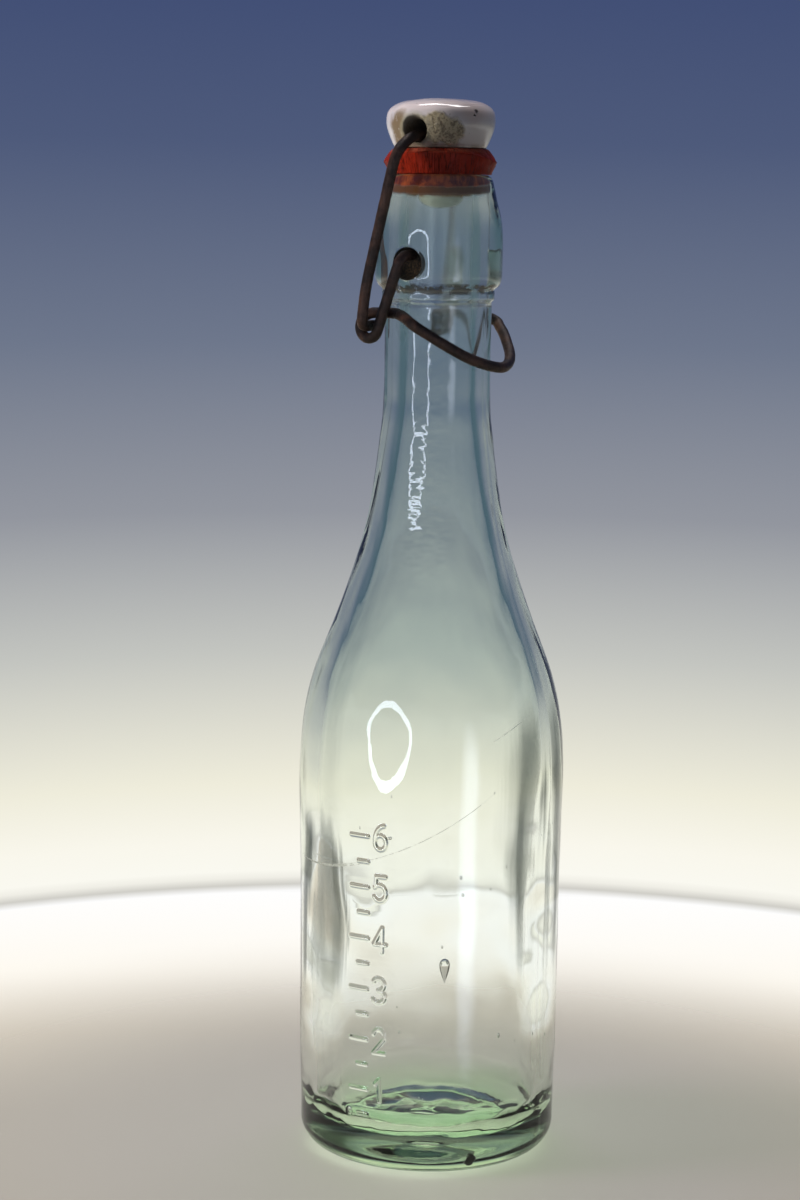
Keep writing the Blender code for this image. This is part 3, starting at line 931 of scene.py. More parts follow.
def glass_look():
    look = Look("aqua_glass")
    x, y, z = look.parts_of_place()
    radius = look.length(x, y)
    turn = look.math("ARCTAN2", x * -FACING_Y + y * FACING_X, x * FACING_X + y * FACING_Y)
    inner = look.range(radius, *INSIDE_RADII)
    # Stains in the mouth together with painted light: the rubber's painted image and a painted glow
    stained, stain_and_painted_colour, haze = mouth_stains_and_painted_light(look, inner, z)
    groove = groove_dirt(look, radius, z)
    packed, grime = pivot_hole_dirt(look, x, y, z)
    scratched = long_scratches(look, turn, z) * look.range(radius, *WALL_OUTSIDE)
    speck = look.near(*HEEL_SPECK)
    colour = look.layered(
        look.colour(look.range(z, *BASE_FADE), BODY_TINT, BASE_TINT),
        (look.range(z, *NECK_FADE), NECK_TINT),
        (haze, HAZE_TINT),
        (look.range(stained, 0.0, 0.25), stain_and_painted_colour),
        (look.range(groove, 0.0, 0.25), GROOVE_COLOUR),
        (look.range(packed, 0.0, 0.25), grime),
        (scratched, SCRATCH_COLOUR),
        (speck, SPECK_COLOUR),
    )
    # This share also carries the painted rubber image and the painted glow from the mouth
    dirt = look.most(stained, groove, packed)
    clouded = look.range(z, *CLOUD_FADE) * inner
    opaque = look.most(dirt, speck, look.most(scratched * 0.14, clouded * 0.03))
    rough = look.most(dirt * 0.85, scratched * 0.5, clouded * 0.24)
    look.dress({
        "Base Color": colour,
        "Transmission Weight": look.range(opaque, 0.0, 1.0, 1.0, 0.06, "LINEAR"),
        "Roughness": rough + 0.012 + scuffs(look, turn, z) * 0.16,
        "Normal": glass_normal(look, turn, z),
        "IOR": 1.5,
    })
    # Lamps pass through, and the colour comes from the depth of glass
    shadow = look.node("LightPath").outputs["Is Shadow Ray"]
    look.shown(look.between(shadow, look.shader.outputs[0], look.clear(SHADOW_TINT)))
    depth = look.node("VolumeAbsorption", {"Color": DEPTH_COLOUR, "Density": DEPTH_DENSITY})
    look.put(depth.outputs[0], look.output.inputs["Volume"])
    return look.material


# The porcelain finish, with spots and pairs as above
blots = (
    (on_face(0.0120, -0.0014, cross_hole_z + 0.0006), 0.0042, 0.0011, 0.0026, 420.0),
    (on_face(0.0120, 0.0019, cross_hole_z - 0.0002), 0.0039, 0.0012, 0.0026, 460.0),
)
BARE_COLOURS = ((0.15, 0.105, 0.045), (0.47, 0.39, 0.24))
BARE_PALE_COLOUR = (0.60, 0.55, 0.45)
GLAZE_FADE = (0.2375, 0.2432)
GLAZE_COLOURS = ((0.74, 0.71, 0.74), (0.80, 0.66, 0.65))
GLAZE_CLOUD_COLOUR = (0.62, 0.56, 0.60)
BLUSH_SPOT = (on_face(0.0122, 0.0075, cross_hole_z + 0.0044), 0.0050, 0.0040, 0.0020, 200.0)
BLUSH_COLOUR = (0.62, 0.46, 0.40)
SIDE_SPOT = (on_face(0.0121, -0.0094, cross_hole_z - 0.0010), 0.0050, 0.0022, 0.0030, 330.0, (1, 1, 0.75))
SIDE_COLOUR = (0.20, 0.130, 0.055)
SMEAR_RAGGEDNESS = 0.0020
SMEAR_RADII = (CROSS_HOLE_FLARE_RADIUS + 0.0016, CROSS_HOLE_RADIUS + 0.0003)
SMEAR_COLOUR_RADII = (0.0026, 0.0040)
# Grime colours inside the hole and in its flare, both lightened as painted light where the lamps leave the
# hole in shade
GRIME_AND_PAINTED_LIGHT_COLOURS = ((0.13, 0.105, 0.065), (0.42, 0.38, 0.27))
# Painted shade: a darker brown band at the porcelain's foot, where it meets the rubber
FOOT_SHADE_FADE = (head_foot + 0.0013, head_foot + 0.0001)
FOOT_SHADE_COLOUR = (0.24, 0.17, 0.09)
pinholes = (
    (on_face(0.0119, 0.0079, 0.2405), 0.0006, 0.0003, 0.0005, 1500.0),
    (on_face(0.0121, 0.0075, 0.2396), 0.0004, 0.0002, 0.0004, 1500.0),
)
PINHOLE_COLOUR = (0.10, 0.07, 0.05)
GLAZE_SWELL_DEPTH = 0.0008
PIT_DEPTH = 0.0005
SCATTER_RADII = (0.0012, 0.0009, 0.0008)


def porcelain_look():
    """White glaze with a bare patch beside the hole, stains, grime round both holes lightened with painted
    light, painted shade at the foot, and pinholes.
    """
    look = Look("white_porcelain")
    x, y, z = look.parts_of_place()
    ragged = look.noise(650.0, 5.0, 0.65)
    speck = look.noise(1000.0, 4.0, 0.75)
    patch = look.spots(blots)
    bare = look.colour(look.range(speck, 0.40, 0.54), *BARE_COLOURS)
    bare = look.colour(look.range(speck, 0.60, 0.70), bare, BARE_PALE_COLOUR)
    stain = look.near(*SIDE_SPOT) * look.range(ragged, 0.18, 0.46)
    from_axis = look.length(y, z - cross_hole_z)
    grime = look.range(from_axis + (ragged - 0.5) * SMEAR_RAGGEDNESS, *SMEAR_RADII)
    # Painted shade along the foot, in patches
    foot = look.range(z, *FOOT_SHADE_FADE) * look.patches(300.0, 0.30, 0.55)
    pin = look.spots(pinholes)
    specks = look.patches(820.0, 0.745, 0.770, 1.0)
    colour = look.layered(
        look.colour(look.range(z, *GLAZE_FADE), *GLAZE_COLOURS),
        (look.patches(90.0, 0.40, 0.80), GLAZE_CLOUD_COLOUR),
        (look.near(*BLUSH_SPOT) * 0.5, BLUSH_COLOUR),
        (patch * 0.94, bare),
        (stain * 0.95, SIDE_COLOUR),
        # Grime round the hole, its colours lightened with painted light
        (grime * 0.95, look.colour(look.range(from_axis, *SMEAR_COLOUR_RADII), *GRIME_AND_PAINTED_LIGHT_COLOURS)),
        (foot * 0.7, FOOT_SHADE_COLOUR),
        (look.most(pin, specks * 0.5), PINHOLE_COLOUR),
    )
    rough = look.most(patch, stain * 0.6, grime)
    pits = speck * (patch + grime * 0.5) - pin * 2.0
    glaze_swell = look.bump(look.noise(120.0, 2.0), 0.25, GLAZE_SWELL_DEPTH)
    return look.dress({
        "Base Color": colour,
        "Roughness": look.range(rough, 0.0, 1.0, 0.09, 0.75, "LINEAR"),
        "Normal": look.bump(pits, 0.8, PIT_DEPTH, glaze_swell),
        "IOR": 1.52,
        "Subsurface Weight": 0.08,
        "Subsurface Radius": SCATTER_RADII,
    })


# The rubber and iron finishes
CRACKS_ROUND = 34.0
CRACKS_UP = 150.0
CRACK_FADE = (0.036, 0.008)
CRACK_COLOUR = (0.030, 0.004, 0.002)
CRACK_DEPTH = 0.0004
RUBBER_COLOURS = ((0.235, 0.012, 0.004), (0.420, 0.032, 0.011))
# Painted highlight: a paler band near the rubber's top, standing in for its lit upper rim
PAINTED_HIGHLIGHT_EDGE = (gasket_foot + GASKET_THICKNESS * 0.80, gasket_foot + GASKET_THICKNESS * 0.96)
PAINTED_HIGHLIGHT_COLOUR = (0.42, 0.11, 0.065)
IRON_COLOURS = ((0.026, 0.018, 0.016), (0.066, 0.034, 0.024))
RUST_COLOUR = (0.17, 0.085, 0.060)
SOOT_COLOUR = (0.010, 0.009, 0.009)
IRON_COARSE_DEPTH = 0.0006
IRON_FINE_DEPTH = 0.00025


def rubber_look():
    """Red rubber with upright cracks and a painted highlight in patches along its upper edge."""
    look = Look("red_rubber")
    x, y, z = look.parts_of_place()
    around_rim = look.node("CombineXYZ", {0: look.math("ARCTAN2", y, x) * CRACKS_ROUND, 1: z * CRACKS_UP})
    crack = look.line(look.noise(1.0, 4.0, 0.6, around_rim.outputs[0], 0.3), 0.5, *CRACK_FADE)
    crack = crack * (look.patches(230.0, 0.36, 0.58) * 0.75 + 0.25)
    # Painted highlight along the upper edge, in patches
    edge = look.range(z, *PAINTED_HIGHLIGHT_EDGE) * look.patches(420.0, 0.30, 0.56, 4.0)
    colour = look.layered(
        look.colour(look.noise(500.0, 4.0), *RUBBER_COLOURS),
        (edge * 0.7, PAINTED_HIGHLIGHT_COLOUR),
        (crack * 0.92, CRACK_COLOUR),
    )
    return look.dress({
        "Base Color": colour,
        "Roughness": look.range(look.noise(600.0), 0.3, 0.7, 0.40, 0.62),
        "Normal": look.bump(look.noise(1600.0, 4.0) * 0.25 - crack, 0.7, CRACK_DEPTH),
        "Specular IOR Level": 0.10,
    })


def iron_look():
    """Dark iron with coarse rusty clouds and fine pits."""
    look = Look("dark_iron_wire")
    coarse = look.noise(260.0, 4.0, 0.6)
    fine = look.noise(1900.0, 5.0, 0.7)
    colour = look.layered(
        look.colour(look.range(coarse, 0.38, 0.66), *IRON_COLOURS),
        (look.range(fine, 0.60, 0.80), RUST_COLOUR),
        (look.range(fine, 0.42, 0.28), SOOT_COLOUR),
    )
    return look.dress({
        "Base Color": colour,
        "Metallic": look.range(coarse, 0.35, 0.70, 0.55, 0.20),
        "Roughness": look.range(fine, 0.30, 0.70, 0.40, 0.66),
        "Normal": look.bump(fine, 0.6, IRON_FINE_DEPTH, look.bump(coarse, 0.5, IRON_COARSE_DEPTH)),
        "Specular IOR Level": 0.28,
    })


# The glass's profile
PROFILE_STEP = 0.0016
LONGEST_STEP = 1.05 * PROFILE_STEP
EASE_LOW = 0.060
EASE_HIGH = 0.190
EASE_REACH = 2
EASE_ROUNDS = 4


def stretch(shares, from_radius, to_radius, foot, height):
    """Points of a stretch of the profile from its shares."""
    return [(mix(from_radius, to_radius, out), foot + height * up) for up, out in shares]


def side_profile(wall, neck_radius):
    """The side of the body and shoulder, that far in from the outside, up to the neck's radius."""
    body = stretch(body_taper_shares, BODY_RADIUS - wall, heel_top_radius - wall, 0.0, BODY_HEIGHT)
    return [*body, *stretch(shoulder_shares, neck_radius, BODY_RADIUS - wall, BODY_HEIGHT, SHOULDER_HEIGHT)]


def eased(profile):
    """The profile with the shoulder's radii averaged over their neighbours, which takes out ripples."""
    points = dense(profile, PROFILE_STEP)
    for _ in range(EASE_ROUNDS):
        radii = [radius for radius, z in points]
        for index in range(EASE_REACH, len(points) - EASE_REACH):
            if EASE_LOW < points[index][1] < EASE_HIGH:
                near_by = radii[index - EASE_REACH : index + EASE_REACH + 1]
                points[index] = (sum(near_by) / len(near_by), points[index][1])
    return points


def glass_profile():
    """(points, how many of them are inside): up the inside, over the lip and down the outside."""
    lip_centre = BORE_RADIUS + LIP_INNER_ROUND
    floor_edge = heel_top_radius - BODY_WALL - FLOOR_ROUND
    floor_top = BASE_THICKNESS + FLOOR_ROUND
    above_floor = [point for point in side_profile(BODY_WALL, BORE_RADIUS) if point[1] > floor_top]
    inner_side = [(heel_top_radius - BODY_WALL, floor_top), *above_floor]
    outer_side = [(heel_top_radius, HEEL_ROUND), *side_profile(0.0, NECK_RADIUS), (NECK_RADIUS, band_foot)]
    floor = quarter(floor_edge, floor_top, FLOOR_ROUND, -90, 0, steps=14)[:-1]
    lip = quarter(lip_centre, glass_top - LIP_INNER_ROUND, LIP_INNER_ROUND, 180, 90, steps=8)
    inside = dense([(0.0, BASE_THICKNESS), *floor, *eased(curved(inner_side)), *lip], LONGEST_STEP)
    heel = quarter(ring_outer_radius, HEEL_ROUND, HEEL_ROUND, -90, 0, steps=12)[:-1]
    band = stretch(band_shares, NECK_RADIUS, BAND_RADIUS, band_foot, BAND_HEIGHT)
    collar = stretch(collar_shares, NECK_RADIUS, COLLAR_RADIUS, collar_foot, COLLAR_HEIGHT)
    outside = [*heel, *eased(curved(outer_side)), *curved(band), *curved(collar)]
    under = curved(stretch(push_up_shares, 0.0, ring_inner_radius, 0.0, PUSH_UP))
    hollow = [(ring_inner_radius, 0.0), *reversed(under)]
    down = dense([*reversed(outside), *hollow[:-1], (0.0, PUSH_UP)], LONGEST_STEP)
    return [*inside, *down], len(inside)


# The raised scale on the photographed face: plain numbers, each another 25 ml
SCALE_DEG = -27.0
SCALE_STEP_ML = 25
CUBIC_METRES_PER_ML = 1e-6
SCALE_NUMBERS = 6
SCALE_STROKE = 0.00016
SCALE_SLOPE = 0.00042
SCALE_HEIGHT = 0.00032
TICK_LENGTH = 0.0026
LONG_TICK_LENGTH = 0.0046
DIGIT_HEIGHT = 0.0056
DIGIT_WIDTH = 0.0033
DIGIT_GAP = 0.0014
SCALE_CUTS = 6
GLASS_COLUMNS = 168

# Lines of the digits from 1 up, in shares of their width and height from their middle
digit_lines = (
    [[(-0.28, 0.28), (0.05, 0.5), (0.05, -0.5)]],
    [[*arc(0.0, 0.22, 0.42, 0.28, 165, -35), (-0.42, -0.5), (0.45, -0.5)]],
    [arc(-0.05, 0.25, 0.42, 0.25, 150, -90), arc(-0.05, -0.25, 0.47, 0.25, 90, -150)],
    [[(0.18, -0.5), (0.18, 0.5), (-0.45, -0.2), (0.45, -0.2)]],
    [[(0.40, 0.5), (-0.30, 0.5), (-0.36, 0.05)], arc(-0.06, -0.17, 0.48, 0.33, 140, -150)],
    [arc(0.0, -0.2, 0.42, 0.3, 0, 360, 16), arc(0.34, -0.14, 0.76, 0.64, 175, 95)],
)


def scale_mark_z(number):
    """How high that many steps of liquid stand in the body."""
    inner_radius = BODY_RADIUS - BODY_WALL - 0.5 * BODY_TAPER
    corner = (1 - math.pi / 4) * FLOOR_ROUND ** 2 * 2 * math.pi * inner_radius
    liquid = number * SCALE_STEP_ML * CUBIC_METRES_PER_ML
    return BASE_THICKNESS + (liquid + corner) / (math.pi * inner_radius ** 2)


def scale_strokes():
    """Every stroke of the scale as a line between two (distance along the wall, height) points."""
    strokes = []
    for number, lines in enumerate(digit_lines, 1):
        z = scale_mark_z(number)
        half_z = scale_mark_z(number - 0.5)
        strokes.append(((-LONG_TICK_LENGTH, z), (0.0, z)))
        strokes.append(((-TICK_LENGTH, half_z), (0.0, half_z)))
        middle = DIGIT_GAP + DIGIT_WIDTH / 2
        for line in lines:
            points = [(middle + DIGIT_WIDTH * x, z + DIGIT_HEIGHT * y) for x, y in line]
            strokes.extend(zip(points, points[1:]))
    return strokes


def from_stroke(along, z, stroke):
    (start_x, start_z), (end_x, end_z) = stroke
    run, rise = end_x - start_x, end_z - start_z
    share = clamped(((along - start_x) * run + (z - start_z) * rise) / (run * run + rise * rise))
    return math.hypot(along - start_x - run * share, z - start_z - rise * share)


def angle_from_face(place):
    turn = math.degrees(math.atan2(place.y, place.x)) - FACING_DEG
    return (turn + 180.0) % 360.0 - 180.0


def along_scale(place):
    """How far right of the scale's foot line a point of the wall is, along the wall."""
    return math.radians(angle_from_face(place) - SCALE_DEG) * BODY_RADIUS


def raise_scale(mesh):
    """Cuts the outside under the scale finer, keeps it round, and raises the strokes from it."""
    strokes = scale_strokes()
    reach = SCALE_STROKE + SCALE_SLOPE
    low, high = scale_mark_z(0.5) - 2 * reach, scale_mark_z(SCALE_NUMBERS) + DIGIT_HEIGHT
    left, right = -LONG_TICK_LENGTH - 2 * reach, DIGIT_GAP + DIGIT_WIDTH + 2 * reach
    wall_middle = BODY_RADIUS - BODY_TAPER - BODY_WALL / 2

    def on_patch(place):
        outside = math.hypot(place.x, place.y) > wall_middle
        return outside and low < place.z < high and left < along_scale(place) < right

    shape = bmesh.new()
    shape.from_mesh(mesh)
    edges = {edge for face in shape.faces if on_patch(face.calc_center_median()) for edge in face.edges}
    bmesh.ops.subdivide_edges(shape, edges=list(edges), cuts=SCALE_CUTS, use_grid_fill=True)
    column = 2 * math.pi / GLASS_COLUMNS
    for vertex in shape.verts:
        place = vertex.co
        if not on_patch(place):
            continue
        radius, angle = math.hypot(place.x, place.y), math.atan2(place.y, place.x)
        radius *= math.cos(angle % column - column / 2) / math.cos(column / 2)
        along = along_scale(place)
        close = [stroke for stroke in strokes if abs(stroke[0][1] - place.z) < DIGIT_HEIGHT]
        nearest = min([reach, *[from_stroke(along, place.z, stroke) for stroke in close]])
        radius += SCALE_HEIGHT * smooth_step((reach - nearest) / SCALE_SLOPE)
        vertex.co = (radius * math.cos(angle), radius * math.sin(angle), place.z)
    shape.to_mesh(mesh)
    shape.free()


# Waves in the glass. A swell is (shift in the noise, size).
INNER_SWELL = ((3.1, 0.7, 5.3), 0.030)
BODY_SWELL_DEPTH = 0.00017
NECK_SWELL_DEPTH = 0.00010
BODY_SWELL_TOP = 0.078
BODY_SWELL_FADE = 0.030
STREAK_SWELL = ((0.3, 0.9, 0.1), 0.0050)
STREAK_DRAWN_SHARE = 0.08
BODY_STREAK_DEPTH = 0.00005
NECK_STREAK_DEPTH = 0.00014
NECK_STREAK_FOOT = 0.120
NECK_STREAK_FADE = 0.03
FLOOR_WAVE = ((1.7, 2.9, 0.0), 0.011)
FLOOR_WAVE_DEPTH = 0.00060
FLOOR_RIPPLE = ((4.1, 0.2, 0.0), 0.0055)
FLOOR_RIPPLE_DEPTH = 0.00028
FLOOR_WAVE_FADE = 0.010
COLLAR_SWELL = ((5.0, 5.0, 1.0), 0.006)
COLLAR_SWELL_DEPTH = 0.00006
COLLAR_CALM = 0.001
OUTER_SWELL = ((9.2, 1.4, 6.6), 0.016)
OUTER_SWELL_DEPTH = 0.00010
SEAM_HEIGHT = 0.00012
SEAM_WIDTH = 0.0005
HEEL_CALM = 0.0012
HEEL_FADE = 0.006
LIP_CALM = 0.0040
LIP_FADE = 0.02

# Thick places on the inside of the wall: degrees from the photographed face, height, half sizes, depth
wall_bulges = ((-60.0, 0.046, 24.0, 0.040, 0.0006), (64.0, 0.060, 22.0, 0.050, 0.0006))


def bulge_depth(place):
    turn = angle_from_face(place)
    depth = 0.0
    for middle, height, half_turn, half_height, deep in wall_bulges:
        off = math.hypot((turn - middle) / half_turn, (place.z - height) / half_height)
        depth += deep * smooth_step(1.0 - off)
    return depth


def inner_move(place):
    """How far a point of the inside stands off its turned place: swells, streaks, floor waves and bulges."""
    calm_z = glass_top - LIP_CALM
    if place.z > calm_z:
        return 0.0
    above = clamped((place.z - BODY_SWELL_TOP) / BODY_SWELL_FADE)
    in_neck = clamped((place.z - NECK_STREAK_FOOT) / NECK_STREAK_FADE)
    on_floor = clamped(1.0 - (place.z - BASE_THICKNESS) / FLOOR_WAVE_FADE)
    drawn = Vector((place.x, place.y, place.z * STREAK_DRAWN_SHARE))
    wide = swell(place, *INNER_SWELL) * mix(BODY_SWELL_DEPTH, NECK_SWELL_DEPTH, above)
    streak = swell(drawn, *STREAK_SWELL) * mix(BODY_STREAK_DEPTH, NECK_STREAK_DEPTH, in_neck)
    wave = swell(place, *FLOOR_WAVE) * FLOOR_WAVE_DEPTH + swell(place, *FLOOR_RIPPLE) * FLOOR_RIPPLE_DEPTH
    return clamped((calm_z - place.z) / LIP_FADE) * (wide + wave * on_floor + streak) + bulge_depth(place)


def outer_move(place):
    """The same for the outside: swells and the mould's seam."""
    radius = math.hypot(place.x, place.y)
    if place.z < HEEL_CALM or (place.z < 2 * PUSH_UP and radius < ring_outer_radius):
        return 0.0
    if place.z > band_foot - COLLAR_CALM:
        return swell(place, *COLLAR_SWELL) * COLLAR_SWELL_DEPTH - COLLAR_SWELL_DEPTH
    wide = swell(place, *OUTER_SWELL) * OUTER_SWELL_DEPTH - OUTER_SWELL_DEPTH
    seam = SEAM_HEIGHT * clamped(1.0 - abs(place.x) / SEAM_WIDTH) if radius > SEAM_WIDTH else 0.0
    return (wide + seam) * clamped(place.z / HEEL_FADE)


# Bubbles in the wall: right of the face's middle, height, half width, half height, taper
TEARDROP = (0.0039, 0.0486, 0.0017, 0.0028, 0.85)
RING_BUBBLE = (-0.0190, 0.0135, 0.0010, 0.0013, 0.0)
BUBBLE_DEPTH = 0.0022
BUBBLE_FLATNESS = 0.45
BUBBLE_SIDES = (20, 12)

# Small round seeds
SEED_COUNT = 26
SEED_RANDOM = 5
SEED_HEIGHTS = (0.018, 0.088)
SEED_SIZES = (0.00014, 0.00034)
SEED_DEPTHS = (0.0012, 0.0030)
SEED_STRETCHES = (1.0, 1.8)
SEED_SIDES = (10, 6)


def add_bubble(shape, angle, z, depth, half_width, half_height, taper, sides, rows):
    """A hollow drop in the glass, thin along the radius, whose lower end narrows; its faces look into it."""
    radius = BODY_RADIUS - 0.5 * BODY_TAPER - depth
    turn = Matrix.Rotation(angle - math.pi / 2, 4, "Z")
    place = Matrix.Translation((radius * math.cos(angle), radius * math.sin(angle), z)) @ turn
    rings = []
    for row in range(1, rows):
        rise = math.cos(math.pi * row / rows)
        width = half_width * math.sin(math.pi * row / rows) * (1.0 - taper * (0.5 - 0.5 * rise))
        rings.append([
            shape.verts.new(place @ Vector((
                width * math.cos(side), width * BUBBLE_FLATNESS * math.sin(side), half_height * rise,
            )))
            for side in even_angles(sides)
        ])
    top, foot = [shape.verts.new(place @ Vector((0.0, 0.0, end))) for end in (half_height, -half_height)]
    skin(shape, [[top] * sides, *rings, [foot] * sides])


def add_bubbles(mesh):
    shape = bmesh.new()
    shape.from_mesh(mesh)
    face = math.radians(FACING_DEG)
    for right, z, *sizes in (TEARDROP, RING_BUBBLE):
        add_bubble(shape, face + math.asin(right / BODY_RADIUS), z, BUBBLE_DEPTH, *sizes, *BUBBLE_SIDES)
    draw = random.Random(SEED_RANDOM)
    for _ in range(SEED_COUNT):
        angle = draw.uniform(0, 2 * math.pi)
        z = draw.uniform(*SEED_HEIGHTS)
        size = draw.uniform(*SEED_SIZES)
        depth = draw.uniform(*SEED_DEPTHS)
        add_bubble(shape, angle, z, depth, size, size * draw.uniform(*SEED_STRETCHES), 0.0, *SEED_SIDES)
    shape.to_mesh(mesh)
    shape.free()


# The pivot hole's mouth as (radius, distance out of the collar), and its end as (share of its radius, rise)
pivot_mouth_points = (
    (0.0, 0.003), (0.0062, 0.003), (0.0046, 0.0006), (0.0039, 0.0), (PIVOT_MOUTH_RADIUS, -0.0006),
)
pivot_end_points = ((1.0, 0.0012), (0.92, 0.0005), (0.72, 0.0001), (0.0, 0.0))


def make_glass(material):
    profile, inside_count = glass_profile()

    def move(place, index):
        return inner_move(place) if index < inside_count else outer_move(place)

    mesh = turned_mesh("glass", profile, GLASS_COLUMNS, move)
    raise_scale(mesh)
    glass = dressed_piece("glass", mesh, material)
    end_x = COLLAR_RADIUS - PIVOT_HOLE_DEPTH
    hole = [(radius, COLLAR_RADIUS + out) for radius, out in pivot_mouth_points]
    hole += [(PIVOT_END_RADIUS * share, end_x + rise) for share, rise in pivot_end_points]
    cut_away(glass, [turned_cutter("hole_cutter", hole, side, pivot_hole_z) for side in (-1, 1)])
    add_bubbles(glass.data)
    stand_in(glass, "bottle", "bottle")


# The porcelain and the rubber
HEAD_STEP = 0.0006
HEAD_COLUMNS = 144
HEAD_CALM = 0.0002
HEAD_SWELL = ((2.0, 8.0, 3.0), 0.010)
HEAD_SWELL_DEPTH = 0.00022
HEAD_SHRINK = 0.00016

# The cross-hole's flare, as (radius, distance out of the porcelain's side)
cross_flare_points = (
    (CROSS_HOLE_RADIUS, -CROSS_HOLE_FLARE_DEPTH), (CROSS_HOLE_RADIUS * 1.07, -0.0016),
    (CROSS_HOLE_FLARE_RADIUS, -0.0007), (CROSS_HOLE_FLARE_RADIUS + 0.0006, -0.0001),
    (CROSS_HOLE_FLARE_RADIUS + 0.0016, 0.0006), (CROSS_HOLE_FLARE_RADIUS + 0.0034, 0.0024),
)


def make_stopper(material):
    stem_top = gasket_foot - TOUCH_GAP
    stem_foot = gasket_foot - STEM_DROP
    head = stretch(head_shares, 0.0, HEAD_RADIUS, head_foot, HEAD_HEIGHT)
    stem = stretch(stem_shares, STEM_RADIUS, STEM_BULB_RADIUS, stem_foot, stem_top - stem_foot)
    dome = curved([(0.0, head_foot + HEAD_HEIGHT), *reversed(head)], steps=4)
    profile = [*dome, (STEM_RADIUS, head_foot), *curved(list(reversed(stem))), (0.0, stem_foot)]

    def move(place, index):
        if place.z < head_foot + HEAD_CALM:
            return 0.0
        return swell(place, *HEAD_SWELL) * HEAD_SWELL_DEPTH - HEAD_SHRINK

    mesh = turned_mesh("porcelain", dense(profile, HEAD_STEP), HEAD_COLUMNS, move)
    stopper = dressed_piece("porcelain", mesh, material)
    flare = [(radius, HEAD_RADIUS + out) for radius, out in cross_flare_points]
    flare.append((0.0, flare[-1][1]))
    hole = [*reversed(flare), *[(radius, -x) for radius, x in flare]]
    cut_away(stopper, [turned_cutter("cross_cutter", hole, 1, cross_hole_z)])
    stand_in(stopper, "stopper", "stopper")


GASKET_STEP = 0.0004
GASKET_COLUMNS = 180
GASKET_FILL_SHARE = 0.9
GASKET_CALM_RADIUS = 0.0095
GASKET_KNOB_SIZE = 0.0016
GASKET_KNOB_DEPTH = 0.00012
GASKET_SHRINK = 0.00008
SAG_START_RADIUS = 0.0112
SAG_FADE = 0.0014
SAG_HEIGHT_SHARE = 0.62
SAG_AT_FACE = 0.0015
SAG_AT_SIDES = -0.0007


def make_gasket(material):
    foot = gasket_foot - GASKET_FILL_SHARE * TOUCH_GAP
    top = gasket_foot + GASKET_THICKNESS + GASKET_FILL_SHARE * TOUCH_GAP
    outside = stretch(gasket_shares, GASKET_FOOT_RADIUS, GASKET_RIM_RADIUS, foot, top - foot)
    hole_radius = STEM_RADIUS + TOUCH_GAP
    profile = [(hole_radius, top), *reversed(outside), (hole_radius, foot), (hole_radius, top)]

    def move(place, index):
        if math.hypot(place.x, place.y) < GASKET_CALM_RADIUS:
            return 0.0
        return fractal(place, GASKET_KNOB_SIZE) * GASKET_KNOB_DEPTH - GASKET_SHRINK

    mesh = turned_mesh("rubber_ring", dense(profile, GASKET_STEP)[:-1], GASKET_COLUMNS, move, closed=True)
    # The rim has sagged at both sides of the photographed face and stands higher at its middle and behind
    for vertex in mesh.vertices:
        place = vertex.co
        radius = math.hypot(place.x, place.y)
        share = clamped((radius - SAG_START_RADIUS) / SAG_FADE)
        height = (place.z - gasket_foot) / GASKET_THICKNESS
        half = SAG_HEIGHT_SHARE if height < SAG_HEIGHT_SHARE else 1.0 - SAG_HEIGHT_SHARE
        middle = max(0.0, 1.0 - abs(height - SAG_HEIGHT_SHARE) / half)
        across = (FACING_X * place.y - FACING_Y * place.x) / radius
        place.z += share * middle * mix(SAG_AT_FACE, SAG_AT_SIDES, across ** 2)
    stand_in(dressed_piece("rubber_ring", mesh, material), "gasket", "stopper")


# The wires
ROUTE_STEP = 0.0016
ROUTE_CURVE_STEPS = 6
WIRE_CURVE_STEPS = 4
EYELET_STEPS = 16
EYELET_END_DEG = 450


def bend_points(start_x, radius, direction, steps=5):
    """A quarter bend from along X into the direction."""
    points = []
    for step in range(steps + 1):
        angle = math.radians(mix(0, 90, step / steps))
        across = start_x + radius * math.sin(angle)
        points.append(Vector((across, 0.0, 0.0)) + direction * (radius * (1 - math.cos(angle))))
    return points


def straight_points(start_x, end_x):
    return [Vector((start_x, 0.0, 0.0)), Vector((mix(start_x, end_x, 0.5), 0.0, 0.0))]


def eyelet_points(start_deg):
    points = []
    for step in range(EYELET_STEPS + 1):
        share = step / EYELET_STEPS
        angle = math.radians(mix(start_deg, EYELET_END_DEG, share))
        points.append(Vector((
            short_arm_x - eyelet_pitch * share,
            EYELET_BACK + eyelet_radius * math.cos(angle),
            -EYELET_DROP + eyelet_radius * math.sin(angle),
        )))
    return points


def thumb_points(start):
    route = [start]
    for from_x, shares in ((start.x, arm_flare_shares), (0.0, arm_bend_shares)):
        for out, forward, down in shares:
            route.append((
                mix(from_x, THUMB_HALF_WIDTH, out),
                mix(start.y, -THUMB_REACH, forward),
                mix(start.z, -THUMB_DROP, down),
            ))
    route.append((0.0, -THUMB_REACH, -THUMB_DROP))
    return smooth_through(route, ROUTE_CURVE_STEPS)[1:]


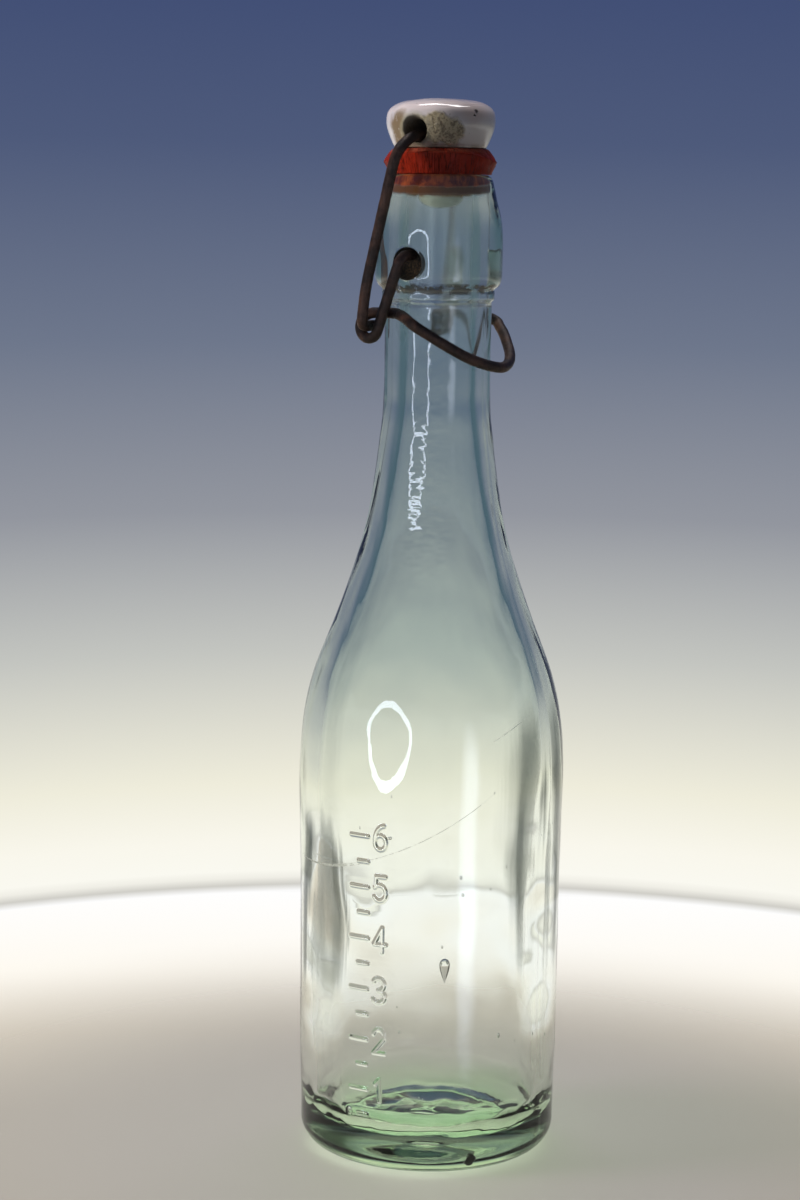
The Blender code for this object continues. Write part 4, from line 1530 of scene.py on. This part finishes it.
def make_wire(name, node, body, half, origin, material):
    """A wire from the points of its half, which ends in the middle plane."""
    other = [Vector((-point.x, point.y, point.z)) for point in half[:-1]]
    whole = [point + Vector(origin) for point in (*half, *reversed(other))]
    curve = smooth_through(evenly_spaced(whole, ROUTE_STEP), WIRE_CURVE_STEPS)
    route = evenly_spaced(curve, WIRE_STEP)
    mesh = tube_mesh(name, route, WIRE_RADIUS, WIRE_SIDES, WIRE_PITTING)
    stand_in(dressed_piece(name, mesh, material), node, body)


def make_lever(material):
    eyelet_distance = math.hypot(EYELET_BACK, EYELET_DROP)
    lean = math.atan2(EYELET_BACK, EYELET_DROP) - math.asin(eyelet_radius / eyelet_distance)
    down = Vector((0.0, math.sin(lean), -math.cos(lean)))
    pin_end = COLLAR_RADIUS - PIVOT_HOLE_DEPTH + 2 * TOUCH_GAP
    bend_start = short_arm_x - SHORT_ARM_BEND
    coil = eyelet_points(180 + math.degrees(lean))
    half = [
        *straight_points(pin_end, bend_start), *bend_points(bend_start, SHORT_ARM_BEND, down),
        *coil, *thumb_points(coil[-1]),
    ]
    make_wire("lever", "lever_wire", "lever", half, (0.0, 0.0, pivot_z), material)


def make_bail(material):
    top = Vector((0.0, -EYELET_BACK, cross_wire_z - eyelet_z))
    upwards = top.normalized()
    backwards = Vector((0.0, upwards.z, -upwards.y))
    tail_x = short_arm_x - eyelet_pitch - WIRE_RADIUS - HOOK_TAIL
    bend_start = leg_x - HOOK_BEND
    hook = [*straight_points(tail_x, bend_start), *bend_points(bend_start, HOOK_BEND, upwards)]
    leg = [
        top * along + backwards * (LEG_BULGE * bulge) + Vector((leg_x * out, 0.0, 0.0))
        for along, out, bulge in leg_shares
    ]
    straight_x = HEAD_RADIUS - CROSS_HOLE_FLARE_DEPTH
    leg_end = top + Vector((straight_x, 0.0, 0.0))
    half = [
        *hook[:-1], *smooth_through([hook[-1], *leg, leg_end], ROUTE_CURVE_STEPS),
        top.lerp(leg_end, 0.5), top,
    ]
    make_wire("bail", "bail_wire", "bail", half, (0.0, EYELET_BACK, eyelet_z), material)


make_camera()
make_world()
make_floor()
make_backdrop()
make_lamps()
make_windows()
make_shades()
make_glass(glass_look())
make_stopper(porcelain_look())
make_gasket(rubber_look())
iron = iron_look()
make_lever(iron)
make_bail(iron)
bpy.context.scene.view_settings.view_transform = "Standard"
